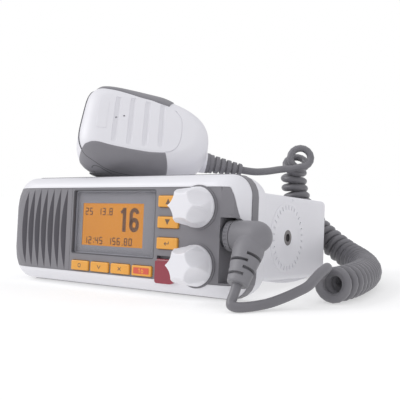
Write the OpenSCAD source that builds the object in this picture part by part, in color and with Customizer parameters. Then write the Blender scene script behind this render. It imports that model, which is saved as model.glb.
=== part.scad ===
// Fixed-mount VHF marine radio with its fist microphone and curly cord.
// Millimetres, +Z up, floor at z = 0. The panel faces -Y and X runs to the right of
// someone who faces it. The radio is modelled upright with its panel face at y = 0, then
// leaned back until it rests on its gasket and on the foot of its heat sink.

/* [Case] */
// Width of the gasket, the widest piece
case_w = 185; // [182:1:192]
// Height of the gasket
case_h = 70; // [69:0.5:73]
// Corner radius of the gasket
case_corner = 13; // [11:0.5:16]
// How far the gasket stands proud of bezel and housing
gasket_proud = 0.5; // [0.3:0.1:1]
// Depth of the gasket
gasket_d = 6.5; // [5:0.5:8]
// Width of the gasket's rubber
gasket_rubber = 6; // [5:0.5:6.5]
// Depth of the bezel
bezel_d = 16.2; // [15.8:0.1:18]
// Wall of the bezel
bezel_wall = 2.6; // [2:0.1:3]
// How far the bezel draws in at its top and bottom
bezel_draw = 8.2; // [7.5:0.1:8.6]
// How far the bezel draws in on the speaker side
bezel_draw_left = 11.5; // [9:0.5:13]
// How far the bezel draws in on the knob side
bezel_draw_right = 6; // [5:0.5:7]

/* [Housing] */
// How far the housing's side stands in from the gasket's
housing_step = 4.5; // [3.5:0.5:5.5]
// Height of the housing
housing_h = 51.5; // [50:0.5:53]
// Height of the housing's base over the gasket's lower edge
housing_base = 9.5; // [9:0.5:11]
// Depth of the housing behind the gasket
housing_d = 101.3; // [98:0.1:110]
// Wall of the housing
housing_wall = 2.7; // [2.2:0.1:3.2]
// Depth of the rounded flange behind the gasket
flange_d = 14; // [12:0.5:16]
// Rounding of the housing's rear edge
rear_round = 2.6; // [2:0.2:3.2]
// Distance of the bracket insert behind the panel face
insert_y = 66.7; // [62:0.1:72]
// Height of the bracket insert
insert_z = 35.3; // [34:0.1:37]
// Outside diameter of the bracket insert
insert_d = 9.5; // [8.5:0.1:10]
// Bore of the bracket insert, tapped M6
insert_bore = 5; // [4.2:0.1:6]
// Diameter of the ring that the bracket clamps
boss_d = 42; // [40:1:44]
// Height of that ring over the housing's side
boss_rise = 0.6; // [0.4:0.1:0.8]
// Number of bracket notches in the ring
notches = 30; // [20:1:36]

/* [Rear] */
// Thickness of the rear seal
seal_t = 0.6; // [0.4:0.1:1]
// Thickness of the heat sink's plate
sink_t = 3; // [2.5:0.1:4]
// Depth of the heat sink's fins
fin_d = 8; // [6:0.5:10]
// Thickness of a fin
fin_t = 2; // [1.5:0.1:2.5]
// Spacing of the fins
fin_pitch = 7.2; // [6:0.1:8]
// Width that the fins take
fins_w = 140; // [120:1:144]
// Height of the fins' lower end, on which the radio leans back
fin_low = 8; // [7:0.1:9.5]
// Thread diameter of the antenna socket
antenna_d = 15.9; // [15:0.1:17]
// How far the antenna socket stands out of its nut
antenna_l = 14; // [12:0.5:17]
// Distance of the antenna socket from the housing's side
antenna_inset = 36; // [34:0.5:40]
// Height of the antenna socket
antenna_z = 34; // [32:0.5:36]
// Place of the power gland across the rear
gland_x = -16; // [-20:0.5:-12]
// Height of the power gland
gland_z = 22; // [21:0.5:26]
// Outside diameter of the power gland
gland_d = 12; // [10:0.5:13]
// Bore of the power gland
gland_bore = 4.4; // [4.2:0.1:6]
// Length of the power gland
gland_l = 15.2; // [14.8:0.1:18]

/* [Panel] */
// Thickness of the control panel
panel_t = 2.6; // [2.4:0.1:2.8]
// Land between the display opening and the panel's left edge
panel_land = 1.2; // [1.1:0.1:1.6]
// Distance from the gasket's side to the crease where the panel folds back
crease_inset = 10.1; // [9.9:0.1:11]
// Lower edge of the opening for panel and grille
opening_low = 8.8; // [8.4:0.1:9]
// Upper edge of the opening for panel and grille
opening_high = 61.5; // [61.4:0.1:61.8]
// Gap between a panel piece and the opening
fit_gap = 0.2; // [0.15:0.05:0.3]
// Setback of the folded strip's outer edge
fold_back = 2.7; // [2.4:0.1:2.9]
// Upper edge of the recess for the microphone plug
notch_high = 45; // [44.8:0.1:46]
// Clearance of the bezel round the plug
notch_gap = 0.5; // [0.4:0.1:0.7]
// Height at which the folded strip starts to widen towards the plug
flare_high = 59; // [57:0.5:60]
// How far back that strip has widened at the recess
flare_w = 3.9; // [3:0.1:4.5]
// Width of the display opening
window_w = 67.6; // [66:0.1:67.8]
// Height of the display opening
window_h = 40.2; // [38:0.1:40.3]
// Land between the display opening and the column of keys
window_land = 2.4; // [2.2:0.1:2.6]
// Centre height of the display opening
window_z = 40.1; // [40:0.1:40.3]
// Thickness of the display window
lens_t = 1.5; // [1:0.1:1.6]
// Lap of the display window behind the panel
lens_lap = 0.9; // [0.6:0.1:1]
// Width of the lit display
lcd_w = 50.2; // [48:0.1:52]
// Height of the lit display
lcd_h = 26.3; // [25:0.1:28]
// Centre height of the lit display
lcd_z = 38.8; // [38:0.1:40]
// How far the lit display sits to the left in its opening
lcd_offset = 4; // [3.5:0.1:4.5]

/* [Speaker grille] */
// Most louvres that the grille has
louvres = 7; // [5:1:7]
// Spacing of the louvres
louvre_pitch = 6.33; // [6:0.01:6.4]
// Land that is left between two louvres
louvre_land = 1.3; // [1:0.1:2]
// Deepest point of a louvre
louvre_depth = 3.4; // [2.5:0.1:3.8]
// Height of a louvre
louvre_h = 52; // [44:1:53]
// Thickness of the grille
grille_t = 6; // [5.4:0.1:6.5]
// Depth of the grille at the case's side
grille_wrap = 10; // [9:0.5:11]
// Diameter of the loudspeaker
speaker_d = 42; // [36:1:44]

/* [Keys] */
// Width of a key
key_w = 14.8; // [13:0.1:15]
// Height of a key in the row
key_h = 6; // [5:0.1:6.2]
// How far a key stands over the panel
key_rise = 1.2; // [1:0.1:1.6]
// Gap round a key
key_gap = 0.3; // [0.2:0.05:0.4]
// Lip that holds a key behind the panel
key_lip = 0.7; // [0.5:0.1:0.8]
// Travel of a key
key_travel = 0.8; // [0.5:0.1:1]
// Land between the row of keys and the distress well
row_end = 2.9; // [2.6:0.1:3.2]
// Height of the row of keys
row_z = 12.9; // [12.8:0.1:13.4]
// Land between two keys of the row
row_land = 2; // [1.8:0.1:2.2]
// Gap between the column of keys and a knob
column_gap = 1.5; // [1.3:0.1:1.7]
// Height of the uppermost key in the column
column_z = 53.3; // [53:0.1:54]
// Spacing of the column of keys
column_pitch = 11.9; // [11.5:0.1:12]

/* [Distress key] */
// Width of the distress cover
cover_w = 14.6; // [13.5:0.1:14.8]
// Thickness of the distress cover
cover_t = 1.5; // [1.2:0.1:1.6]
// Lower edge of the distress cover
cover_low = 6.9; // [6.5:0.1:7.5]
// Height of the cover's hinge pin
cover_pivot_z = 19.4; // [19.2:0.1:19.6]
// Depth of the hinge pin behind the panel face
cover_pivot_y = 0.9; // [0.8:0.1:1]
// Diameter of the hinge pin
cover_pin_d = 1.2; // [1:0.1:1.4]
// Width of the well in the panel
well_w = 15; // [14.9:0.1:15.2]
// Upper edge of the well
well_high = 22.4; // [22.3:0.1:23]

/* [Knobs] */
// Diameter of a knob's skirt
knob_d = 22.8; // [21:0.1:23]
// Height of a knob
knob_h = 16.4; // [14:0.1:18]
// Distance of the knobs' axes from the crease
knob_inset = 14.5; // [14.2:0.1:14.6]
// Height of the volume knob
volume_z = 50.2; // [49.6:0.1:50.4]
// Height of the squelch knob
squelch_z = 18.4; // [18.2:0.1:19]
// Number of lobes round a knob
lobes = 6; // [5:1:8]
// Diameter of a knob's shaft
shaft_d = 6; // [5:0.1:6.4]
// Radial clearance of a shaft in its bush
shaft_play = 0.05; // [0.03:0.01:0.08]

/* [Microphone plug] */
// Distance of the plug's axis behind the panel face
plug_y = 6.4; // [6.3:0.1:6.6]
// Height of the plug's axis
plug_z = 35.3; // [34.5:0.1:36]
// Diameter of the threaded collar
collar_d = 16.6; // [16:0.1:16.8]
// Diameter of the plug's body
plug_d = 17; // [16:0.1:18]
// Length of the plug's body up to its elbow
plug_l = 10.4; // [10:0.1:12]
// How far the body's round end stands beyond its elbow
ball_ahead = 2.2; // [1.5:0.1:2.5]
// Length of the threaded collar
collar_l = 3.1; // [2.9:0.1:3.4]
// Lean of the plug's strain relief towards the front
relief_lean = 30; // [25:1:35]
// Length of the plug's strain relief, from the elbow
relief_l = 28; // [26:0.5:29]

/* [Microphone] */
// Length of the microphone
mic_l = 89; // [84:0.5:92]
// Width of the microphone
mic_w = 62; // [58:0.5:64]
// Depth of its front shell
mic_front = 18.7; // [17:0.1:20]
// Depth of its rear shell
mic_rear = 15.9; // [15:0.1:17]
// Wall of the shells
mic_wall = 2; // [1.6:0.1:2.4]
// Taper of the microphone towards its cord
mic_taper = 0.08; // [0.04:0.01:0.12]
// Number of grooves in its front
mic_grooves = 4; // [3:1:4]
// Spacing of those grooves
groove_pitch = 10; // [9:0.1:10.5]
// Length of those grooves
groove_l = 34; // [28:0.5:35]
// Thickness of the rubber grips
grip_t = 0.5; // [0.4:0.1:0.8]
// Length of the push-to-talk bar
ptt_l = 38; // [32:0.5:40]
// Width of the push-to-talk bar
ptt_w = 8.6; // [7:0.1:9]
// Travel of the push-to-talk bar
ptt_travel = 1.5; // [1:0.1:1.8]
// Diameter of the hang-up stud
stud_d = 13; // [12:0.1:15]

/* [Cord] */
// Diameter of the cord
cord_d = 5.2; // [5.2:0.1:5.2]
// Outside diameter of the curls
curl_od = 19.6; // [19.6:0.1:19.6]
// Least gap between two curls
curl_gap = 0.8; // [0.6:0.1:1]

/* [Hidden] */

// Colours
WHITE = [0.88, 0.87, 0.90];
GREY = [0.50, 0.49, 0.52];
DARK = [0.30, 0.29, 0.31];
ORANGE = [0.88, 0.60, 0.24];
RED = [0.52, 0.10, 0.16];
BOARD = [0.12, 0.38, 0.22];
METAL = [0.75, 0.75, 0.77];

eps = 0.01;
big = 300;
touch = 0.1; // running gap of pieces that lie face to face

// Places across the front, each taken from its neighbour on the right
housing_w = case_w - 2 * housing_step;
antenna_x = antenna_inset - housing_w / 2;
panel_crease = case_w / 2 - crease_inset;
knob_x = panel_crease - knob_inset;
column_x = knob_x - knob_d / 2 - column_gap - key_w / 2;
window_x = column_x - key_w / 2 - window_land - window_w / 2;
row_keys = 4;
row_pitch = key_w + row_land;
row_margin = 3;
liner_t = 2.2;
liner_top_t = 1.4;
row_x = column_x - well_w / 2 - row_end - key_w / 2 - row_pitch * (row_keys - 1);
panel_left = min(window_x - window_w / 2 - panel_land, row_x - key_w / 2 - row_margin);

// Planes of the radio, counted back from the panel face
gasket_front = bezel_d;
gasket_back = bezel_d + gasket_d;
housing_back = gasket_back + housing_d;
sink_front = housing_back + seal_t;
fin_root = sink_front + sink_t;
fin_back = fin_root + fin_d;
housing_top = housing_base + housing_h;
housing_mid = housing_base + housing_h / 2;
cavity_w = housing_w - 2 * housing_wall;
cavity_h = housing_h - 2 * housing_wall;
rear_w = housing_w - 2 * rear_round;
rear_h = housing_h - 2 * rear_round;

// Antenna socket
pad_size = 27;
pad_t = 2;
nut_t = 2.4;
antenna_root = fin_root + pad_t + nut_t;
antenna_back = antenna_root + antenna_l;
antenna_contact_d = 4;

// Knobs
knob_lift = 0.9;
ring_rise = 0.6;
knob_tip_d = 2 * 6.5;
knob_bore_l = 11;
bush_d = 9;
pot_size = 17;
pot_front = panel_t + touch;
pot_back = pot_front + 7.1;
board_front = pot_back + 0.2;
board_t = 1.6;

// Rest attitude: the radio turns back about the gasket's rear lower edge
tilt = atan2(fin_low, fin_back - gasket_back);
lift = gasket_back * sin(tilt);
front_reach = (knob_lift + knob_h) * cos(tilt) - (squelch_z - knob_tip_d / 2) * sin(tilt);
rear_reach = antenna_back * cos(tilt) + (antenna_z + antenna_d / 2) * sin(tilt);
shift = (front_reach - rear_reach) / 2;

function rested(p) = [
    p[0],
    p[1] * cos(tilt) + p[2] * sin(tilt) + shift,
    p[2] * cos(tilt) - p[1] * sin(tilt) + lift];
function rested_way(v) = rested(v) - rested([0, 0, 0]);

// Draws its children in the radio's own upright frame
module radio() {
    translate([0, shift, lift]) rotate([-tilt, 0, 0]) children();
}

// ---------- Outlines, lofts and tubes ----------

function corner(x, y, r, from, n) =
    [for (i = [0:n]) [x + r * cos(from + 90 * i / n), y + r * sin(from + 90 * i / n)]];
function box_outline(x0, x1, y0, y1, r_left, r_right, n = 5) = concat(
    corner(x1 - r_right, y1 - r_right, r_right, 0, n),
    corner(x0 + r_left, y1 - r_left, r_left, 90, n),
    corner(x0 + r_left, y0 + r_left, r_left, 180, n),
    corner(x1 - r_right, y0 + r_right, r_right, 270, n));
function at_depth(outline, y) = [for (p = outline) [p[0], y, p[1]]];
function flat_list(rings) = [for (ring = rings) each ring];

// Triangles between rings that run round counter-clockwise, seen from the last one
function side_faces(n, first, last) = [for (j = [first:last - 1]) for (i = [0:n - 1])
    let (a = j * n + i, b = j * n + (i + 1) % n)
    each [[a, b + n, b], [a, a + n, b + n]]];
function ring_face(n, j) = [for (i = [0:n - 1]) j * n + i];
function ring_face_back(n, j) = [for (i = [n - 1:-1:0]) j * n + i];

// Closed solid through rings that are listed from the rear to the front
module loft(rings) {
    n = len(rings[0]);
    m = len(rings);
    polyhedron(flat_list(rings),
        concat([ring_face(n, 0)], side_faces(n, 0, m - 1), [ring_face_back(n, m - 1)]), 4);
}

// Open shell: outer rings from the rim to the end, inner rings from the end to the rim
module cup(outer, inner) {
    n = len(outer[0]);
    mo = len(outer);
    mi = len(inner);
    rim = [for (i = [0:n - 1]) let (a = (mo + mi - 1) * n + i, b = (mo + mi - 1) * n + (i + 1) % n)
        each [[a, (i + 1) % n, b], [a, i, (i + 1) % n]]];
    polyhedron(flat_list(concat(outer, inner)),
        concat(side_faces(n, 0, mo - 1), [ring_face_back(n, mo - 1)], [ring_face(n, mo)],
            side_faces(n, mo, mo + mi - 1), rim), 4);
}

// Skin between an outer and an inner grid of points, each a list of rows
module patch(outer, inner) {
    k = len(outer[0]);
    m = len(outer);
    below = k * m;
    function quad(a, b, c, d) = [[a, c, b], [a, d, c]];
    faces = concat(
        [for (j = [0:m - 2]) for (i = [0:k - 2])
            each quad(j * k + i, j * k + i + 1, (j + 1) * k + i + 1, (j + 1) * k + i)],
        [for (j = [0:m - 2]) for (i = [0:k - 2]) let (a = below + j * k + i, c = a + k + 1)
            each [[a, a + 1, c], [a, c, a + k]]],
        [for (i = [0:k - 2]) each quad(below + i, below + i + 1, i + 1, i)],
        [for (i = [0:k - 2]) each quad((m - 1) * k + i, (m - 1) * k + i + 1,
            below + (m - 1) * k + i + 1, below + (m - 1) * k + i)],
        [for (j = [0:m - 2]) each quad(j * k, (j + 1) * k, below + (j + 1) * k, below + j * k)],
        [for (j = [0:m - 2]) each quad(below + (j + 1) * k - 1 , below + (j + 2) * k - 1,
            (j + 2) * k - 1, (j + 1) * k - 1)]);
    polyhedron(concat(flat_list(outer), flat_list(inner)), faces, 4);
}

// Flat plate with round corners, its front at y = 0 and its back at y = t
module plate(w, h, r, t) {
    translate([0, t, 0]) rotate([90, 0, 0]) linear_extrude(t)
        polygon(box_outline(-w / 2, w / 2, -h / 2, h / 2, r, r));
}

// Cylinder along +Y from the point given
module rod_y(at, r, l, fn = 48) {
    translate(at) rotate([-90, 0, 0]) cylinder(r = r, h = l, $fn = fn);
}

// Cylinder along +X from the point given
module rod_x(at, r, l, fn = 48) {
    translate(at) rotate([0, 90, 0]) cylinder(r = r, h = l, $fn = fn);
}

// Box between two corners
module block(low, high) {
    translate(low) cube(high - low);
}

function unit(v) = v / norm(v);
function tangent(p, i) = unit(p[min(i + 1, len(p) - 1)] - p[max(i - 1, 0)]);
function square_to(v, t) = unit(v - t * (v * t));
// One normal for each point, carried along without twist
function normals(p, start) = [
    for (i = 0, v = square_to(start, tangent(p, 0)); i < len(p);
        i = i + 1, v = square_to(v, tangent(p, i))) v];
function tube_ring(c, t, v, r, n) = let (w = cross(t, v))
    [for (k = [0:n - 1]) c + r * (cos(360 * k / n) * v + sin(360 * k / n) * w)];

// Round tube along points, with a ring at each
module tube(p, r, n) {
    v = normals(p, [0.3, 0.2, 1]);
    loft([for (i = [0:len(p) - 1]) tube_ring(p[i], tangent(p, i), v[i], r, n)]);
}

// ---------- Bezel, grille and panel ----------

// Outline of the bezel where its side has turned by the angle a, from 0 at the gasket to 90
function bezel_ring(a, wall) = let (k = 1 - cos(a), edge = gasket_proud + wall)
    at_depth(box_outline(
        -case_w / 2 + edge + bezel_draw_left * k, case_w / 2 - edge - bezel_draw_right * k,
        edge + bezel_draw * k, case_h - edge - bezel_draw * k,
        case_corner - edge + 9 * k, case_corner - edge - k),
        bezel_d * (1 - sin(a)) + wall);

module bezel_form(wall) {
    loft([for (i = [0:6]) bezel_ring(15 * i, wall)]);
}

// The part of the front that takes grille and panel, larger by the gap given
module front_opening(gap) {
    block([-big, -eps - gap, opening_low - gap], [panel_left, grille_wrap + gap, opening_high + gap]);
    block([panel_left - eps, -eps - gap, opening_low - gap],
        [panel_crease + gap, grille_wrap + gap, opening_high + gap]);
    side_opening(gap);
}

// Its side: a strip that widens downwards, the cut round the plug and the recess below it
module side_opening(gap) {
    r = plug_d / 2 + notch_gap + gap;
    drop = flare_high - notch_high;
    translate([panel_crease - liner_t - gap, 0, 0]) rotate([90, 0, 90]) linear_extrude(big / 10)
        polygon(concat(
            [[-big / 10, opening_low - gap], [-big / 10, opening_high + gap],
                [fold_back + gap, opening_high + gap]],
            [for (i = [0:6]) [fold_back + gap + flare_w * pow(i / 6, 1.6), flare_high - drop * i / 6]],
            [for (a = [78:-13:0]) [plug_y + r * cos(a), plug_z + r * sin(a)]],
            [[bezel_d + eps, plug_z - 2], [bezel_d + eps, opening_low - gap]]));
}

module front_bezel() {
    color(WHITE) radio() difference() {
        bezel_form(0);
        bezel_form(bezel_wall);
        front_opening(0);
    }
}

grille_x = panel_left - fit_gap;
grille_margin = 3.4;
grille_side = 11;
louvre_first = grille_x - grille_margin;
louvre_count = min(louvres, floor((louvre_first + case_w / 2 - grille_side) / louvre_pitch));
louvre_slope = atan(louvre_depth / (louvre_pitch - louvre_land));
louvre_r = pow(louvre_h / 2, 2) / (2 * louvre_depth * cos(louvre_slope));
face_mid = (opening_low + opening_high) / 2;
speaker_x = louvre_first - louvre_pitch * louvre_count / 2;
slot_w = 1.2;
slot_h = 26;

// Cut of one louvre: a lying cylinder, swung so that it goes deeper towards +X
module louvre_cut(x) {
    intersection() {
        block([x - louvre_pitch, -10, face_mid - 40], [x, 10, face_mid + 40]);
        translate([x, louvre_depth, face_mid]) rotate([0, 0, louvre_slope])
            rod_x([-20, -louvre_r, 0], louvre_r, 40, 96);
    }
}

module speaker_grille() {
    color(GREY) radio() difference() {
        intersection() {
            bezel_form(0);
            block([-big, -1, opening_low + fit_gap],
                [grille_x, grille_wrap - fit_gap, opening_high - fit_gap]);
        }
        block([-case_w / 2 + 6.5, grille_t, opening_low + 3], [grille_x - 2, 20, opening_high - 3]);
        for (i = [0:louvre_count - 1]) louvre_cut(louvre_first - louvre_pitch * i - louvre_land / 2);
        for (i = [1:louvre_count - 2])
            translate([louvre_first - louvre_pitch * i - louvre_land / 2 - slot_w, 0, 0])
                block([0, 0, face_mid - slot_h / 2], [slot_w, 20, face_mid + slot_h / 2]);
    }
}

function row_key_x(i) = row_x + row_pitch * i;
function column_key_z(i) = column_z - column_pitch * i;
key_r = 0.8;
well_low = opening_low + 1.1;
well_floor_t = 1.2;
distress_w = 11.6;
distress_h = 7;
distress_z = (well_low + cover_pivot_z - 2) / 2 + 0.4;

module knob_hole(z) {
    rod_y([knob_x, -big / 10, z], bush_d / 2 + fit_gap, big / 5);
}

// Hinge pin of the distress cover, larger by the gap given
module distress_pin_form(gap) {
    rod_x([column_x - well_w / 2 - 1.8, cover_pivot_y, cover_pivot_z], cover_pin_d / 2 + gap,
        well_w + 3.6, 32);
}

strip_t = 1.6;
fold_slope = 0.35;

module panel_front() {
    block([panel_left, 0, opening_low + fit_gap], [panel_crease, panel_t, opening_high - fit_gap]);
    // strip that folds back to the bezel's side and widens towards the plug
    intersection() {
        bezel_form(0);
        side_opening(-fit_gap);
        difference() {
            translate([0, 0, notch_high]) linear_extrude(opening_high - fit_gap - notch_high)
                polygon([[panel_crease - eps, 0], [case_w / 2, fold_slope * crease_inset],
                    [case_w / 2, bezel_d], [panel_crease - eps, bezel_d]]);
            intersection() {
                bezel_form(strip_t);
                block([0, fold_back, 0], [big, big, big]);
            }
        }
    }
    for (z = [volume_z, squelch_z])
        rod_y([knob_x, -ring_rise, z], knob_d / 2 + 0.9, ring_rise + eps, 64);
    // floor of the distress well
    block([column_x - well_w / 2 - 1.2, panel_t - eps, opening_low + fit_gap],
        [column_x + well_w / 2 + 1.2, panel_t + well_floor_t, well_high + 1]);
}

// Walls of the recess that the microphone plug sits in
module panel_recess() {
    recess_back = bezel_d - touch;
    low = opening_low + fit_gap;
    block([panel_crease - liner_t, 0, low], [panel_crease, recess_back, notch_high + liner_top_t]);
    intersection() {
        bezel_form(0);
        union() {
            bezel_form(bezel_wall + fit_gap);
            side_opening(-fit_gap);
        }
        union() {
            block([panel_crease - eps, fold_back * 0.5, notch_high],
                [big, recess_back, notch_high + liner_top_t]);
            block([panel_crease - eps, recess_back - 1, low], [big, recess_back, notch_high + eps]);
            block([panel_crease - eps, 0, low], [big, recess_back, low + 1]);
        }
    }
}

module control_panel() {
    color(GREY) radio() difference() {
        union() {
            panel_front();
            panel_recess();
        }
        translate([window_x, -1, window_z]) plate(window_w, window_h, 1.5, panel_t + 2);
        for (i = [0:row_keys - 1])
            translate([row_key_x(i), -1, row_z])
                plate(key_w + 2 * key_gap, key_h + 2 * key_gap, key_r + key_gap, panel_t + 2);
        for (i = [0:2])
            translate([column_x, -1, column_key_z(i)])
                plate(key_w + 2 * key_gap, key_h + 0.5 + 2 * key_gap, key_r + key_gap, panel_t + 2);
        block([column_x - well_w / 2, -1, well_low], [column_x + well_w / 2, panel_t, well_high]);
        translate([column_x, 0, distress_z])
            plate(distress_w + 2 * key_gap, distress_h + 2 * key_gap, key_r + key_gap, big / 10);
        distress_pin_form(0);
        knob_hole(volume_z);
        knob_hole(squelch_z);
        rod_x([panel_crease - liner_t - eps, plug_y, plug_z], socket_neck_d / 2 + touch,
            liner_t + 1);
    }
}

module display_window() {
    color("lightgrey") radio() translate([window_x, panel_t, window_z])
        plate(window_w + 2 * lens_lap, window_h + 2 * lens_lap, 1.5, lens_t);
}

lcd_front = panel_t + lens_t + 0.3;

module display_module() {
    color(ORANGE) radio() {
        translate([window_x - lcd_offset, lcd_front, lcd_z]) plate(lcd_w, lcd_h, 0.5, 1);
        translate([window_x - lcd_offset, lcd_front + 1 - eps, lcd_z])
            plate(lcd_w + 6, lcd_h + 7, 1, board_front - lcd_front - 1 + eps);
    }
}

module bezel_gasket() {
    color(DARK) radio() translate([0, gasket_front, case_h / 2]) difference() {
        plate(case_w, case_h, case_corner, gasket_d);
        translate([0, -1, 0]) plate(case_w - 2 * gasket_rubber, case_h - 2 * gasket_rubber,
            case_corner - gasket_rubber, gasket_d + 2);
    }
}

// ---------- Housing and rear ----------

// Outline of the housing where its flange has turned by the angle a, from 0 at the gasket to 90
function flange_ring(a) = let (k = cos(a), edge = gasket_proud)
    at_depth(box_outline(
        -housing_w / 2 - (case_w / 2 - edge - housing_w / 2) * k,
        housing_w / 2 + (case_w / 2 - edge - housing_w / 2) * k,
        housing_base - (housing_base - edge) * k,
        housing_top + (case_h - edge - housing_top) * k,
        3 + (case_corner - 4) * k, 3 + (case_corner - 4) * k),
        gasket_back + flange_d * sin(a));
function rear_ring(y, inset) = at_depth(box_outline(
    -housing_w / 2 + inset, housing_w / 2 - inset, housing_base + inset, housing_top - inset,
    3, 3), y);

module housing_form() {
    loft(concat(
        [rear_ring(housing_back, rear_round),
            rear_ring(housing_back - rear_round * 0.45, rear_round * 0.4),
            rear_ring(housing_back - rear_round * 1.5, 0)],
        [for (i = [6:-1:0]) flange_ring(15 * i)]));
}

screw_x = cavity_w / 2 - 3.6;
screw_z = cavity_h / 2 - 3.6;
screw_core_d = 2.4;
screw_head_d = 5.6;
boss_l = 12;
belly_chord = 56;
belly_drop = 2.2;
belly_r = (pow(belly_chord / 2, 2) + pow(belly_drop, 2)) / (2 * belly_drop);
belly_y = 75;
board_x = 70;
board_y0 = 34;
board_y1 = 112;
post_h = 7;
post_inset = 5;

module at_corners() {
    for (sx = [-1, 1]) for (sz = [-1, 1])
        translate([sx * screw_x, 0, housing_mid + sz * screw_z]) children();
}

module at_posts() {
    for (x = [-board_x + post_inset, board_x - post_inset])
        for (y = [board_y0 + post_inset, board_y1 - post_inset])
            translate([x, y, 0]) children();
}

// Ring with notches on one side of the housing, drawn on the right
module bracket_ring() {
    translate([housing_w / 2 - 0.5, insert_y, insert_z]) rotate([0, 90, 0]) difference() {
        cylinder(d = boss_d, h = 0.5 + boss_rise, $fn = 96);
        translate([0, 0, 0.5 + boss_rise - 0.5]) linear_extrude(1)
            for (i = [0:notches - 1]) rotate(360 * i / notches)
                translate([boss_d / 2 - 4.2, -0.45]) square([2.8, 0.9]);
    }
}

module housing() {
    color(WHITE) radio() difference() {
        union() {
            difference() {
                union() {
                    housing_form();
                    // belly under the base
                    intersection() {
                        rod_x([-housing_w / 2 + 3, belly_y, housing_base - belly_drop + belly_r],
                            belly_r, housing_w - 6, 128);
                        block([-big, 0, 0], [big, housing_back, housing_base + 1]);
                    }
                }
                translate([0, gasket_back - 1, housing_mid])
                    plate(cavity_w, cavity_h, 1.5, housing_d + 2);
            }
            bracket_ring();
            mirror([1, 0, 0]) bracket_ring();
            // bosses for the inserts, the rear screws and the main board
            for (x = [-cavity_w / 2 - eps, cavity_w / 2 - 6])
                rod_x([x, insert_y, insert_z], insert_d / 2 + 2.5, 6 + eps);
            at_corners() rod_y([0, housing_back - rear_round - boss_l, 0], 4, boss_l);
            at_posts() translate([0, 0, housing_base + 1]) cylinder(d = 6, h = housing_wall - 1 + post_h);
        }
        rod_x([-big, insert_y, insert_z], insert_d / 2, 2 * big);
        at_corners() rod_y([0, housing_back - 13, 0], screw_core_d / 2, 20, 24);
        // shallow channel from the bracket ring to the rear
        for (x = [-housing_w / 2 - 1, housing_w / 2 - 0.5])
            block([x, insert_y + boss_d / 2 + 1, insert_z - 7],
                [x + 1.5, housing_back - 6, insert_z + 7]);
    }
}

module fin_row() {
    count = floor(fins_w / fin_pitch);
    for (i = [0:count])
        translate([(i - count / 2) * fin_pitch - fin_t / 2, fin_root - eps, fin_low])
            cube([fin_t, fin_d + eps, housing_top - 3 - fin_low]);
}

module rear_heat_sink() {
    color(METAL) radio() difference() {
        union() {
            translate([0, sink_front, housing_mid]) plate(rear_w - 0.4, rear_h - 0.4, 3, sink_t);
            difference() {
                fin_row();
                block([antenna_x - pad_size / 2, fin_root, antenna_z - pad_size / 2],
                    [antenna_x + pad_size / 2, big, antenna_z + pad_size / 2]);
                block([gland_x - gland_d / 2 - 2, fin_root, 0],
                    [gland_x + gland_d / 2 + 2, big, gland_z + gland_d / 2 + 2]);
            }
            translate([antenna_x, fin_root - eps, antenna_z])
                plate(pad_size - 1, pad_size - 1, 2, pad_t + eps);
        }
        rod_y([antenna_x, 0, antenna_z], antenna_d / 2, 2 * big);
        rod_y([gland_x, 0, gland_z], gland_d / 2 - 1, 2 * big);
        at_corners() rod_y([0, 0, 0], screw_core_d / 2 + 0.4, big, 24);
    }
}

module rear_seal() {
    color(DARK) radio() translate([0, housing_back, housing_mid]) difference() {
        plate(rear_w - 1, rear_h - 1, 3, seal_t);
        translate([0, -1, 0]) plate(cavity_w - 18, cavity_h - 18, 1.5, seal_t + 2);
        for (sx = [-1, 1]) for (sz = [-1, 1])
            rod_y([sx * screw_x, -1, sz * screw_z], screw_core_d / 2 + 0.4, 5, 24);
        rod_y([gland_x, -1, gland_z - housing_mid], gland_d / 2 - 0.7, 5);
    }
}

module antenna_socket() {
    color(METAL) radio() translate([antenna_x, 0, antenna_z]) difference() {
        union() {
            rod_y([0, sink_front - 2, 0], antenna_d / 2, antenna_back - sink_front + 2);
            translate([0, fin_root + pad_t, 0]) rotate([-90, 0, 0]) cylinder(d = 22, h = nut_t, $fn = 6);
        }
        rod_y([0, antenna_root + 2, 0], antenna_d / 2 - 1.6, antenna_l);
    }
}

module antenna_insulator() {
    color("ivory") radio() translate([antenna_x, 0, antenna_z]) difference() {
        rod_y([0, antenna_root + 2, 0], antenna_d / 2 - 1.6, antenna_l - 4);
        rod_y([0, antenna_root + 4, 0], antenna_contact_d / 2, antenna_l);
    }
}

gland_grip = 6;

module power_gland() {
    color(DARK) radio() translate([gland_x, 0, gland_z]) difference() {
        union() {
            rod_y([0, fin_root, 0], gland_d / 2, 2);
            rod_y([0, sink_front - 2, 0], gland_d / 2 - 1, sink_t + 2 + eps);
            translate([0, fin_root + 2 - eps, 0]) rotate([-90, 0, 0])
                cylinder(d1 = gland_d - 1.5, d2 = gland_bore + 3, h = gland_l - 2 + eps, $fn = 48);
        }
        // the lead's grip is the last length of the bore, and the bore behind it is wider
        rod_y([0, fin_root + 1, 0], gland_bore / 2 + 0.8, gland_l - gland_grip - 1);
        rod_y([0, fin_root + gland_l - gland_grip - eps, 0], gland_bore / 2, gland_grip + 1);
    }
}

module bracket_insert() {
    difference() {
        rod_x([housing_w / 2 + boss_rise - 8.2, insert_y, insert_z], insert_d / 2, 8.2);
        rod_x([housing_w / 2 - 20, insert_y, insert_z], insert_bore / 2, 30);
    }
}

module bracket_inserts() {
    color(METAL) radio() {
        bracket_insert();
        mirror([1, 0, 0]) bracket_insert();
    }
}

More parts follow.
